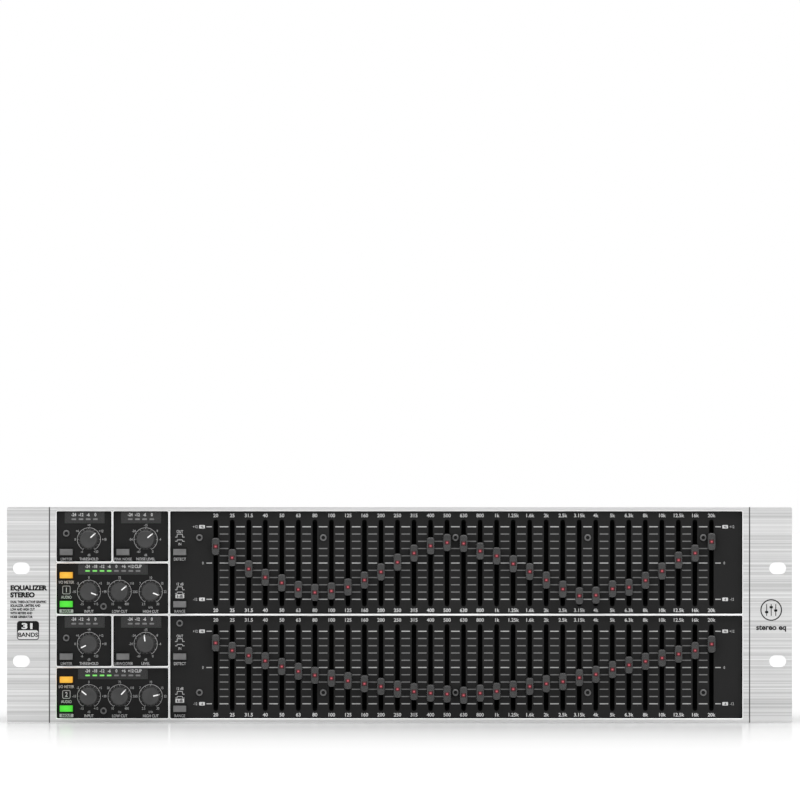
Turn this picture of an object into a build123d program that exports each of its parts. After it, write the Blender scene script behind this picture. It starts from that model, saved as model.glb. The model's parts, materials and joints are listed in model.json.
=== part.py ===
from build123d import *
import os
from math import asin, degrees, radians, tan

# A two-channel, thirty-one-band graphic equalizer in a 19-inch, three-unit rack case.
# Frame: +X to the right seen from the front, +Y to the rear, +Z up.
# Origin: the middle of the footprint, on the surface that the unit stands on.

# ---------------------------------------------------------------- driving dimensions, mm
rack_width = 482.6          # 19 inches across the ears
rack_height = 132.5         # three rack units, less the usual gap
overall_depth = 215.0       # knob tips to jack bushings
knob_reach = 11.5           # knob tips stand this far in front of the panel face
rear_reach = 3.5            # jack bushings stand this far behind the rear wall
panel_thickness = 3.0
sheet_metal = 1.2           # control plate, tray and cover
body_half_width = 214.4     # outside of the tray's side walls
cover_top = 130.5
channel_drop = 64.25        # channel 2 repeats channel 1 this far down

face_y = -overall_depth / 2 + knob_reach
plate_y = face_y + panel_thickness
plate_back_y = plate_y + sheet_metal
rear_y = overall_depth / 2 - rear_reach
wall_y = rear_y - sheet_metal
mid_z = rack_height / 2

# Rack slots, on the standard spacing.
slot_spacing_x = 465.1
slot_spacing_z = 57.15
slot_length = 10.4
slot_width = 7.2
ear_groove_x = 215.2
ear_groove_width = 0.7
ear_groove_depth = 0.6

# Control plate, behind the front panel.
plate_half_width = 212.8
plate_bottom = 0.8
plate_top = 131.7

# The tray's ear flanges and front lip, and the cover's skirt.
flange_width = 12.0
flange_bottom = 6.0
flange_top = 126.5
lip_height = 3.4
skirt_bottom = 117.5

# Vents, as how many, the place of the first, and the pitch.
rear_vents = (24, -180.0, 15.6)
rear_vent_zs = [96.0, 110.0]
side_vents = (10, -20.0, 9.0)
side_vent_width = 3.2
side_vent_bottom = 78.0
side_vent_top = 108.0
lid_vents = (20, -95.0, 15.0)
lid_vent_ys = [10.0, 44.0]

# Windows through the front panel, with bars of bar_width between them.
field_half_width = 210.8
field_bottom = 2.6
field_top = 129.9
bar_width = 1.2
bar_x_narrow = -176.5       # between the two upper knob windows of a channel
bar_x_full = -141.6         # between the knob windows and the fader window
row_pitch = 32.15
window_corner = 0.8
window_chamfer = 0.5

# Faders. The levels are what each fader is set to, in dB.
band_count = 31
band_pitch = 10.16
first_band_x = -113.0
fader_zero_z = 98.05        # channel 1's 0 dB line
scale_reach = 22.3          # from 0 dB to the 12 dB marks
levels_1 = [
    5.5, 1.8, -1.9, -4.7, -6.5, -8.7, -9.7, -9.2, -7.9, -5.6, -2.9,
    0.3, 3.3, 5.7, 6.8, 6.5, 4.0, 2.4, -0.2, -2.8, -5.6, -8.6,
    -10.8, -10.6, -8.5, -8.0, -5.7, -2.6, 1.0, 3.3, 7.1,
]
levels_2 = [
    8.2, 5.7, 4.0, 2.3, 0.4, -1.2, -2.5, -3.5, -4.3, -5.3, -6.2,
    -7.1, -7.9, -8.4, -8.7, -9.1, -8.4, -7.8, -7.1, -6.2, -5.3, -4.6,
    -3.3, -2.2, -0.6, 0.9, 2.1, 3.2, 4.5, 5.7, 7.8,
]
octave_bands = {            # the band number of each octave's centre, and its name
    2: "31hz", 5: "63hz", 8: "125hz", 11: "250hz", 14: "500hz",
    17: "1khz", 20: "2khz", 23: "4khz", 26: "8khz", 29: "16khz",
}
cap_width = 5.0
cap_height = 10.7
cap_corner = 2.0
cap_reach = 6.0             # a cap's front stands this far in front of the panel face
cap_gap = 1.0               # between a cap and the control plate
fader_slot_width = 2.9
fader_slot_length = 53.4
lever_width = 1.2
lever_height = 3.2
cap_fillet = 0.7
cap_taper = 1.2
cap_crown_radius = 30.0     # of the cap's front, which stands out most at its middle
lens_width = 3.0            # the lever's lit end, seen in the cap
lens_height = 2.7
lens_setback = 0.25         # behind the cap's front
lens_depth = 3.0            # the lens ends this far behind the cap's front
track_width = 7.0
track_height = 60.0
track_wall = 0.9
track_slot_width = 2.6
track_slot_length = 50.5
carriage_height = 5.0

# Knobs: place in channel 1, and where each pointer stands, in degrees clockwise from the top.
knob_places = {
    "threshold": (-191.0, 112.6),
    "level": (-156.1, 112.6),
    "input": (-191.0, 80.4),
    "low_cut": (-172.1, 80.4),
    "high_cut": (-153.0, 80.4),
}
knob_angles_1 = {"threshold": 47, "level": 51, "input": 110, "low_cut": 50, "high_cut": 111}
knob_angles_2 = {"threshold": -116, "level": -7, "input": -51, "low_cut": 43, "high_cut": 78}
knob_names = {("level", 1): "noise_level", ("level", 2): "subwoofer_level"}
knob_gap = 0.8              # between a knob's skirt and the control plate
knob_skirt_radius = 6.3
knob_skirt_height = 1.3
knob_base_radius = 5.55
knob_tip_radius = 5.2
flute_count = 18
flute_radius = 0.5
pointer_inner = 1.74
pointer_outer = 5.0
pointer_width = 0.76
pointer_depth = 0.35
knob_socket = 3.0           # the shaft's socket ends this far behind the tip
shaft_radius = 3.0
shaft_inside = 5.0          # the shaft ends this far behind the control plate
bush_bore_radius = 3.05     # a running fit on the shaft
bush_radius = 3.5
bush_hole_radius = 3.7

# Buttons: place in channel 1, for the same button in both channels.
button_places = {
    "limiter": (-204.85, 104.8),
    "noise": (-170.0, 104.8),
    "meter": (-204.85, 90.6),
    "in_out": (-204.85, 72.85),
    "detect": (-135.1, 104.8),
    "range": (-135.1, 72.7),
}
button_names = {("noise", 1): "pink_noise", ("noise", 2): "subwoofer"}
button_width = 8.0
button_height = 3.8
button_reach = 3.0          # caps stand this far in front of the panel face when out
button_travel = 2.5
button_gap = 0.3            # around each cap in its hole
stem_width = 2.4
stem_socket = 4.0           # how far the stem goes into the cap

# Meter windows: x and z ranges in channel 1. The light bars are printed and lit behind them.
meter_ranges = [
    (-206.0, -181.3, 122.5, 129.3),
    (-171.3, -146.5, 122.5, 129.3),
    (-197.7, -154.8, 90.9, 97.5),
]
meter_gap = 0.1

# Screws through the control plate.
left_screws = [(-204.9, 116.3), (-182.0, 71.4), (-204.9, 52.0), (-182.0, 7.2), (-135.2, 61.05)]
fader_screw_xs = [-123.06, -46.86, 34.42, 115.7, 186.82]
fader_screw_zs = [113.7, 18.4]
screw_head_radius = 2.1
screw_head_height = 1.3
screw_radius = 1.2
screw_hole_radius = 1.45
hex_socket = 2.2            # across flats
hex_socket_depth = 0.9
spacer_radius = 2.4

# Screws of the casing: behind the ears, and round the cover's skirt.
ear_screw_x = 219.5
ear_screw_zs = [18.0, mid_z, 114.5]
cover_screw_ys = [-60.0, 5.0, 70.0]
rear_screw_xs = [-190.0, 0.0, 190.0]
cover_screw_z = 124.0

# Circuit boards.
board_thickness = 1.6
front_board_y = plate_back_y + 8.0
front_board_bottom = 4.0
front_board_top = 128.5
boards_split_x = -127.5     # the control board ends and the fader board starts here
main_board_z = 8.0

# Connectors on the rear wall, all centred at one height.
connector_z = 62.0
xlr_male_xs = [92.0, 36.0, -74.0]
xlr_female_xs = [-34.0, -144.0]
jack_xs = [67.0, 12.0, -10.0, -98.0, -120.0]
xlr_flange_width = 26.0
xlr_flange_height = 31.0
xlr_screw_x = 9.5
xlr_screw_z = 12.0
xlr_mouth_radius = 9.6
xlr_barrel_radius = 11.9
xlr_flange = 2.2
xlr_depth = 20.0            # of the barrel, in front of the rear wall's outside
xlr_male_floor = 15.0       # how deep the pins' floor lies
jack_bore_radius = 3.25
jack_bore_depth = 20.0
jack_bush_radius = 4.7
inlet_x = 150.0
inlet_screw_x = 20.0
inlet_flange = 2.6
inlet_width = 27.6
inlet_height = 20.0
inlet_depth = 15.0
inlet_back = 3.0
fuse_x = 190.0
fuse_z = 47.0
rocker_x = 190.0
rocker_z = 74.0
rocker_tilt = 12.0          # either side of level
rocker_radius = 9.2
rocker_length = 11.0
transformer_x = 150.0
transformer_y = 25.0


# ---------------------------------------------------------------- helpers
def block(x0, x1, y0, y1, z0, z1):
    """A box between two corners."""
    middle = Pos((x0 + x1) / 2, (y0 + y1) / 2, (z0 + z1) / 2)
    return middle * Box(x1 - x0, y1 - y0, z1 - z0)


def slab(outline, y0, y1):
    """A sketch drawn in X and Z, made solid from y0 back to y1."""
    return extrude(Plane.XZ.offset(-y1) * outline, amount=y1 - y0)


def disc(x, z, radius, y0, y1):
    """A round bar along Y."""
    return slab(Pos(x, z) * Circle(radius), y0, y1)


def post(x, y, radius, z0, z1):
    """A round bar along Z."""
    return Pos(x, y, (z0 + z1) / 2) * Cylinder(radius, z1 - z0)


def spread(x0, x1, z0, z1):
    """A rectangle between two corners, as a sketch in X and Z."""
    return Pos((x0 + x1) / 2, (z0 + z1) / 2) * Rectangle(x1 - x0, z1 - z0)


def band_x(band):
    return first_band_x + band_pitch * band


def drop(channel):
    """How far down a channel's controls stand from channel 1's."""
    return channel_drop * (channel - 1)


def fader_level_z(channel, band):
    """The height of a fader where it is set."""
    level = (levels_1, levels_2)[channel - 1][band]
    return fader_zero_z - drop(channel) + level * scale_reach / 12


def all_fader_places():
    return [(channel, band) for channel in (1, 2) for band in range(band_count)]


def all_front_screws():
    return left_screws + [(x, z) for x in fader_screw_xs for z in fader_screw_zs]


# ---------------------------------------------------------------- casing
def window_ranges():
    """The eight windows as x0, x1, z0, z1."""
    half = bar_width / 2
    left = -field_half_width
    windows = []
    for channel in (1, 2):
        top = field_top if channel == 1 else mid_z - half
        bottom = mid_z + half if channel == 1 else field_bottom
        split = mid_z + row_pitch * (1 if channel == 1 else -1)
        windows.append((left, bar_x_narrow - half, split + half, top))
        windows.append((bar_x_narrow + half, bar_x_full - half, split + half, top))
        windows.append((left, bar_x_full - half, bottom, split - half))
        windows.append((bar_x_full + half, field_half_width, bottom, top))
    return windows


def front_panel():
    outline = Pos(0, mid_z) * RectangleRounded(rack_width, rack_height, 1.2)
    holes = []
    for x0, x1, z0, z1 in window_ranges():
        window = RectangleRounded(x1 - x0, z1 - z0, window_corner)
        holes.append(Pos((x0 + x1) / 2, (z0 + z1) / 2) * window)
    for side in (-1, 1):
        for level in (-1, 1):
            place = Pos(side * slot_spacing_x / 2, mid_z + level * slot_spacing_z / 2)
            holes.append(place * SlotOverall(slot_length, slot_width))
    panel = slab(outline - holes, face_y, plate_y)
    front_edges = panel.faces().sort_by(Axis.Y)[0].edges()
    field = [edge for edge in front_edges if abs(edge.center().X) < field_half_width + 0.1]
    window_edges = [edge for edge in field if 0.1 < edge.center().Z < rack_height - 0.1]
    panel = chamfer(window_edges, window_chamfer)
    for side in (-1, 1):
        x = side * ear_groove_x
        half = ear_groove_width / 2
        panel -= block(x - half, x + half, face_y, face_y + ear_groove_depth, 0, rack_height)
        for z in ear_screw_zs:
            panel -= disc(side * ear_screw_x, z, screw_radius + 0.05, plate_y - 2.2, plate_y)
    return panel


def control_plate():
    outline = spread(-plate_half_width, plate_half_width, plate_bottom, plate_top)
    holes = []
    for channel in (1, 2):
        down = drop(channel)
        for band in range(band_count):
            slot = SlotOverall(fader_slot_length, fader_slot_width, rotation=90)
            holes.append(Pos(band_x(band), fader_zero_z - down) * slot)
        for x, z in knob_places.values():
            holes.append(Pos(x, z - down) * Circle(bush_hole_radius))
        for x, z in button_places.values():
            hole = Rectangle(button_width + 2 * button_gap, button_height + 2 * button_gap)
            holes.append(Pos(x, z - down) * hole)
        for x0, x1, z0, z1 in meter_ranges:
            holes.append(spread(x0, x1, z0 - down, z1 - down))
    for x, z in all_front_screws():
        holes.append(Pos(x, z) * Circle(screw_hole_radius))
    return slab(outline - holes, plate_y, plate_back_y)


def meter_windows():
    """Smoked windows, flush with the control plate's face."""
    windows = []
    for channel in (1, 2):
        down = drop(channel)
        for x0, x1, z0, z1 in meter_ranges:
            inside = (x0 + meter_gap, x1 - meter_gap, z0 - down + meter_gap, z1 - down - meter_gap)
            windows.append(slab(spread(*inside), plate_y, plate_back_y))
    return windows


def rear_cutouts():
    """What the rear wall is cut for, as sketches in X and Z."""
    cuts = []
    for x in xlr_male_xs + xlr_female_xs:
        cuts.append(Pos(x, connector_z) * Circle(xlr_barrel_radius + 0.2))
        for side in (-1, 1):
            place = Pos(x + side * xlr_screw_x, connector_z + side * xlr_screw_z)
            cuts.append(place * Circle(screw_hole_radius))
    for x in jack_xs:
        cuts.append(Pos(x, connector_z) * Circle(jack_bush_radius + 0.15))
    cuts.append(Pos(inlet_x, connector_z) * Rectangle(inlet_width + 0.4, inlet_height + 0.4))
    for side in (-1, 1):
        cuts.append(Pos(inlet_x + side * inlet_screw_x, connector_z) * Circle(screw_hole_radius))
    cuts.append(Pos(fuse_x, fuse_z) * Circle(6.2))
    cuts.append(Pos(rocker_x, rocker_z) * Rectangle(13.6, 20.6))
    return cuts


def line_of(vents):
    """The places of a row of vents, given how many, where the first is, and the pitch."""
    count, first, pitch = vents
    return [first + pitch * place for place in range(count)]


def side_hole(x, y):
    """A screw's hole through a side wall or a skirt."""
    return Pos(x, y, cover_screw_z) * Rot(0, 90, 0) * Cylinder(screw_hole_radius, 3 * sheet_metal)


def tray_side(side):
    """A side wall with its vents, and the flange folded out behind the ear."""
    inner = body_half_width - sheet_metal
    x0, x1 = sorted((side * inner, side * body_half_width))
    wall = block(x0, x1, plate_y, rear_y, sheet_metal, cover_top - sheet_metal)
    for y in line_of(side_vents):
        wall -= block(x0, x1, y, y + side_vent_width, side_vent_bottom, side_vent_top)
    for y in cover_screw_ys:
        wall -= side_hole((x0 + x1) / 2, y)
    x0, x1 = sorted((side * body_half_width, side * (body_half_width + flange_width)))
    flange = block(x0, x1, plate_y, plate_back_y, flange_bottom, flange_top)
    for z in ear_screw_zs:
        flange -= disc(side * ear_screw_x, z, screw_hole_radius, plate_y, plate_back_y)
    return wall + flange


def chassis_tray():
    """Floor with a front lip, two sides with their flanges, and a rear wall, welded at the corners."""
    wide = body_half_width
    inner = wide - sheet_metal
    floor = block(-wide, wide, plate_back_y, rear_y, 0, sheet_metal)
    floor += block(-inner, inner, plate_back_y, plate_back_y + sheet_metal, sheet_metal, lip_height)
    vents = [Pos(x, z) * SlotOverall(9.0, 2.6, rotation=90)
             for x in line_of(rear_vents) for z in rear_vent_zs]
    outline = spread(-inner, inner, sheet_metal, cover_top - sheet_metal)
    rear_wall = slab(outline - rear_cutouts() - vents, wall_y, rear_y)
    for x in rear_screw_xs:
        rear_wall -= disc(x, cover_screw_z, screw_hole_radius, wall_y, rear_y)
    return [floor, tray_side(-1), tray_side(1), rear_wall]


def top_cover():
    """A flat lid with a skirt down each side and down the rear, and rows of vents."""
    wide = body_half_width
    lid = block(-wide, wide, plate_back_y, rear_y, cover_top - sheet_metal, cover_top)
    slots = [Pos(x, y) * SlotOverall(24.0, 3.0, rotation=90) for x in line_of(lid_vents) for y in lid_vent_ys]
    lid -= [extrude(Plane.XY.offset(cover_top - sheet_metal) * slot, amount=sheet_metal) for slot in slots]
    for side in (-1, 1):
        x0, x1 = sorted((side * wide, side * (wide + sheet_metal)))
        skirt = block(x0, x1, plate_back_y, rear_y, skirt_bottom, cover_top)
        for y in cover_screw_ys:
            skirt -= side_hole((x0 + x1) / 2, y)
        lid += skirt
    skirt = block(-wide - sheet_metal, wide + sheet_metal, rear_y, rear_y + sheet_metal,
                  skirt_bottom, cover_top)
    for x in rear_screw_xs:
        skirt -= disc(x, cover_screw_z, screw_hole_radius, rear_y, rear_y + sheet_metal)
    lid += skirt
    return lid


# ---------------------------------------------------------------- faders
cap_back_y = plate_y - cap_gap
cap_front_y = face_y - cap_reach
lens_back_y = cap_front_y + lens_depth
track_front_y = plate_back_y + 1.5
carriage_front_y = track_front_y + track_wall + 0.4
carriage_back_y = front_board_y - track_wall - 0.4


def fader_cap():
    """A tapered cap with a crowned front and a socket for the lever. It is set at z 0."""
    depth = cap_back_y - cap_front_y
    outline = RectangleRounded(cap_width, cap_height, cap_corner)
    cap = extrude(Plane.XZ.offset(-cap_back_y) * outline, amount=depth, taper=cap_taper)
    crown = Cylinder(cap_crown_radius, cap_width)
    cap &= Pos(0, cap_front_y + cap_crown_radius, 0) * Rot(0, 90, 0) * crown
    cap = fillet(cap.faces().sort_by(Axis.Y)[0].edges(), cap_fillet)
    cap -= block(-lever_width / 2, lever_width / 2, lens_back_y, cap_back_y,
                 -lever_height / 2, lever_height / 2)
    cap -= block(-lens_width / 2, lens_width / 2, cap_front_y, lens_back_y,
                 -lens_height / 2, lens_height / 2)
    return cap


def fader_lever():
    """The light-guide lever: lens at the front, stem through the slots, carriage in the track."""
    lens = block(-lens_width / 2, lens_width / 2, cap_front_y + lens_setback, lens_back_y,
                 -lens_height / 2, lens_height / 2)
    stem = block(-lever_width / 2, lever_width / 2, lens_back_y, carriage_front_y,
                 -lever_height / 2, lever_height / 2)
    half = track_width / 2 - track_wall - 0.5
    carriage = block(-half, half, carriage_front_y, carriage_back_y,
                     -carriage_height / 2, carriage_height / 2)
    return lens + stem + carriage


def fader_tracks(lever):
    """The slide potentiometers' housings, with the levers of the faders that don't move."""
    outside = block(-track_width / 2, track_width / 2, track_front_y, front_board_y,
                    -track_height / 2, track_height / 2)
    inner = track_width / 2 - track_wall
    inside = block(-inner, inner, track_front_y + track_wall, front_board_y - track_wall,
                   -track_height / 2 + track_wall, track_height / 2 - track_wall)
    slot = block(-track_slot_width / 2, track_slot_width / 2, track_front_y,
                 track_front_y + track_wall, -track_slot_length / 2, track_slot_length / 2)
    housing = outside - inside - slot
    pieces = []
    for channel, band in all_fader_places():
        pieces.append(Pos(band_x(band), 0, fader_zero_z - drop(channel)) * housing)
        if band not in octave_bands:
            pieces.append(Pos(band_x(band), 0, fader_level_z(channel, band)) * lever)
    return pieces


# ---------------------------------------------------------------- knobs and buttons
def knob():
    """A fluted knob at x 0, z 0, its pointer straight up, with the shaft that it grips."""
    base_y = plate_y - knob_gap
    tip_y = face_y - knob_reach
    skirt_y = base_y - knob_skirt_height
    profile = Polyline(
        (shaft_radius, base_y), (knob_skirt_radius, base_y), (knob_skirt_radius, skirt_y + 0.4),
        (knob_base_radius, skirt_y), (knob_tip_radius, tip_y), (0, tip_y),
        (0, tip_y + knob_socket), (shaft_radius, tip_y + knob_socket), (shaft_radius, base_y))
    body = revolve(make_face(profile), Axis.Y)
    rim = body.faces().sort_by(Axis.Y)[0].edges()
    body = fillet(rim, 0.45)
    lean = degrees(asin((knob_base_radius - knob_tip_radius) / (skirt_y - tip_y)))
    for flute in range(flute_count):
        middle = Pos(0, 0, knob_base_radius + 0.12)
        length = skirt_y - tip_y - 1.4
        cutter = Cylinder(flute_radius, length, align=(Align.CENTER, Align.CENTER, Align.MAX))
        place = Rot(0, 360 / flute_count * (flute + 0.5), 0) * Pos(0, skirt_y - 0.2, 0) * middle
        body -= place * Rot(-90 - lean, 0, 0) * Rot(180, 0, 0) * cutter
    body -= block(-pointer_width / 2, pointer_width / 2, tip_y, tip_y + pointer_depth,
                  pointer_inner, pointer_outer)
    return body


def knob_shaft():
    """The potentiometer's shaft, from inside the knob to inside the pot."""
    return disc(0, 0, shaft_radius, face_y - knob_reach + knob_socket, plate_back_y + shaft_inside)


def turned(shape, x, z, angle):
    """A control set at x and z, turned clockwise by angle as seen from the front."""
    return Pos(x, 0, z) * Rot(0, angle, 0) * shape


def rotary_pots():
    """Ten pots: a housing against the control board, and a bushing through the plate."""
    pot = block(-4.9, 4.9, plate_back_y, front_board_y, -5.5, 5.5)
    pot += disc(0, 0, bush_radius, plate_y + 0.1, plate_back_y)
    pot -= disc(0, 0, bush_bore_radius, plate_y + 0.1, plate_back_y + shaft_inside + 0.4)
    return [Pos(x, 0, z - drop(channel)) * pot
            for channel in (1, 2) for x, z in knob_places.values()]


button_front_y = face_y - button_reach
button_back_y = plate_back_y + 1.0
switch_front_y = button_back_y + button_travel + 0.7


def button_cap():
    """A translucent cap with a softened front, hollowed behind for its stem and lamp."""
    cap = block(-button_width / 2, button_width / 2, button_front_y, button_back_y,
                -button_height / 2, button_height / 2)
    cap = fillet(cap.edges().filter_by(Axis.Y), 0.35)
    cap = fillet(cap.faces().sort_by(Axis.Y)[0].edges(), 0.3)
    cap -= block(-stem_width / 2, stem_width / 2, button_back_y - stem_socket, button_back_y,
                 -stem_width / 2, stem_width / 2)
    return cap


def button_stem():
    """The switch's plunger, from inside the cap to inside the switch."""
    half = stem_width / 2
    end_y = front_board_y - button_travel - 0.9
    return block(-half, half, button_back_y - stem_socket, end_y, -half, half)


def push_switches():
    """Twelve latching switches on the control board, each open in front for its plunger."""
    half_bore = stem_width / 2 + 0.3
    body = block(-3.6, 3.6, switch_front_y, front_board_y, -3.6, 3.6)
    body -= block(-half_bore, half_bore, switch_front_y, front_board_y - 0.4, -half_bore, half_bore)
    return [Pos(x, 0, z - drop(channel)) * body
            for channel in (1, 2) for x, z in button_places.values()]


# ---------------------------------------------------------------- circuit boards
def front_board(x0, x1):
    """An upright board behind the plate, drilled for the plate's screws."""
    outline = spread(x0, x1, front_board_bottom, front_board_top)
    holes = [Pos(x, z) * Circle(screw_hole_radius) for x, z in all_front_screws() if x0 < x < x1]
    return slab(outline - holes, front_board_y, front_board_y + board_thickness)


def control_board():
    """The board behind the knobs, with the meters' lamp blocks, chips and a ribbon header."""
    back_y = front_board_y + board_thickness
    pieces = [front_board(-210.5, boards_split_x - 0.2)]
    for channel in (1, 2):
        down = drop(channel)
        for x0, x1, z0, z1 in meter_ranges:
            pieces.append(block(x0 + 3, x1 - 3, plate_back_y + 0.2, front_board_y,
                                z0 + 1.0 - down, z0 + 4.0 - down))
        for x in (-196.0, -172.0, -148.0):
            pieces.append(block(x - 4.4, x + 4.4, back_y, back_y + 1.8, 88.0 - down, 92.0 - down))
    pieces.append(block(-190.0, -160.0, back_y, back_y + 9.0, 60.0, 66.0))
    return pieces


def fader_board():
    """The board behind the faders, with a filter chip for every pair of bands, and headers."""
    back_y = front_board_y + board_thickness
    pieces = [front_board(boards_split_x + 0.2, 208.0)]
    for channel in (1, 2):
        middle_z = fader_zero_z - drop(channel)
        for pair in range(band_count // 2):
            x = band_x(2 * pair + 0.5)
            pieces.append(block(x - 2.0, x + 2.0, back_y, back_y + 1.6, middle_z - 4.4, middle_z + 4.4))
        pieces.append(block(-6.0, 30.0, back_y, back_y + 9.0, middle_z - 21.0, middle_z - 15.0))
    return pieces


def main_board():
    """The audio and supply board on its spacers, with everything that stands on it."""
    x0, x1 = -205.0, 98.0
    y0, y1 = -62.0, 70.0
    top = main_board_z + board_thickness
    board = block(x0, x1, y0, y1, main_board_z, top)
    pieces = []
    for x in (x0 + 8, -53.0, x1 - 8):
        for y in (y0 + 8, y1 - 8):
            board -= post(x, y, 1.6, main_board_z, top)
            pieces.append(post(x, y, 3.0, sheet_metal, main_board_z))
            pieces.append(post(x, y, 1.5, main_board_z, top) + post(x, y, 2.8, top, top + 1.8))
    pieces.append(board)
    for row in (0, 1):
        for column in (0, 1):
            pieces.append(post(60.0 + 22.0 * column, -40.0 + 22.0 * row, 8.0, top, top + 25.0))
    heat_sink = block(16.0, 48.0, -46.0, -43.0, top, top + 30.0)
    for fin in range(7):
        x = 17.0 + 4.8 * fin
        heat_sink += block(x, x + 1.2, -43.0, -31.0, top, top + 30.0)
    pieces.append(heat_sink)
    for x in (22.0, 33.0, 44.0):
        pieces.append(block(x - 5.0, x + 5.0, -50.5, -46.0, top + 4.0, top + 19.0))
    for column in range(9):
        for row in (0, 1, 2):
            x = -188.0 + 20.0 * column
            y = -40.0 + 24.0 * row
            pieces.append(block(x - 3.2, x + 3.2, y - 4.9, y + 4.9, top, top + 3.6))
            pieces.append(post(x + 9.0, y, 2.5, top, top + 7.0))
    for x in (-150.0, -92.0, -20.0, 30.0):
        pieces.append(block(x - 7.5, x + 7.5, 42.0, 52.0, top, top + 10.0))
    pieces.append(block(-185.0, -155.0, -60.0, -54.0, top, top + 9.0))
    pieces.append(block(-2.0, 38.0, -60.0, -54.0, top, top + 9.0))
    return pieces


def toroidal_transformer():
    """The wound ring on a rubber pad, held down by a dished washer, a stud and a nut."""
    x = transformer_x
    y = transformer_y
    low = sheet_metal + 2.0
    section = Pos(26.0, low + 17.0) * RectangleRounded(28.0, 34.0, 8.0)
    ring = Pos(x, y, 0) * revolve(Plane.XZ * section, Axis.Z)
    pad = post(x, y, 36.0, sheet_metal, low) - post(x, y, 4.0, sheet_metal, low)
    washer = post(x, y, 30.0, low + 34.0, low + 36.0) - post(x, y, 3.2, low + 34.0, low + 36.0)
    stud = post(x, y, 3.0, sheet_metal, low + 46.0)
    nut_outline = Plane.XY.offset(low + 36.0) * (RegularPolygon(5.0, 6, major_radius=False) - Circle(3.1))
    nut = Pos(x, y, 0) * extrude(nut_outline, amount=5.0)
    return [ring, pad, washer, stud, nut]


# ---------------------------------------------------------------- rear connectors
def xlr_shell():
    """A square-flanged shell at x 0, z 0, open behind and in front."""
    outline = RectangleRounded(xlr_flange_width, xlr_flange_height, 3.0)
    holes = [Circle(xlr_mouth_radius)]
    for side in (-1, 1):
        holes.append(Pos(side * xlr_screw_x, side * xlr_screw_z) * Circle(screw_hole_radius))
    shell = slab(outline - holes, rear_y, rear_y + xlr_flange)
    barrel = Circle(xlr_barrel_radius) - Circle(xlr_mouth_radius)
    return shell + slab(barrel, rear_y - xlr_depth, rear_y)


def xlr_pin_places():
    """Three contacts in a triangle, 7 mm across, as x and z."""
    return [(-3.5, 2.0), (3.5, 2.0), (0.0, -2.9)]


def xlr_male():
    """A male socket: a floor deep in the shell, with three pins."""
    floor = disc(0, 0, xlr_mouth_radius, rear_y - xlr_depth, rear_y - xlr_male_floor)
    pins = []
    for x, z in xlr_pin_places():
        floor -= disc(x, z, 1.2, rear_y - xlr_depth, rear_y - xlr_male_floor)
        pins.append(disc(x, z, 1.2, rear_y - xlr_depth, rear_y - 5.0))
    return [xlr_shell(), floor] + pins


def xlr_female():
    """A female socket: a plug of insulation with three holes in a ring-shaped gap, and a latch."""
    insert = disc(0, 0, xlr_mouth_radius, rear_y - xlr_depth, rear_y - 17.0)
    insert += disc(0, 0, 7.4, rear_y - 17.0, rear_y + xlr_flange)
    for x, z in xlr_pin_places():
        insert -= disc(x, z, 1.4, rear_y - 14.0, rear_y + xlr_flange)
    latch = block(-2.6, 2.6, rear_y + xlr_flange, rear_y + xlr_flange + 1.0, 10.4, 14.2)
    return [xlr_shell(), insert, latch]


def xlr_connectors():
    pieces = []
    for places, socket in ((xlr_male_xs, xlr_male()), (xlr_female_xs, xlr_female())):
        pieces += [Pos(x, 0, connector_z) * piece for x in places for piece in socket]
    return pieces


def jack_connectors():
    """Five quarter-inch sockets, each a housing, a bushing through the wall and a hex nut."""
    housing = block(-7.5, 7.5, wall_y - 26.0, wall_y, -8.5, 8.5)
    housing += disc(0, 0, jack_bush_radius, wall_y, rear_y + rear_reach)
    bore_end = rear_y + rear_reach - jack_bore_depth
    housing -= disc(0, 0, jack_bore_radius, bore_end, rear_y + rear_reach)
    nut_outline = RegularPolygon(6.4, 6, major_radius=False) - Circle(jack_bush_radius + 0.05)
    nut = slab(nut_outline, rear_y, rear_y + 2.4)
    return [Pos(x, 0, connector_z) * piece for x in jack_xs for piece in (housing, nut)]


rocker_pivot_y = rear_y - 5.2
rocker_frame_y = rear_y + 1.8


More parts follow.
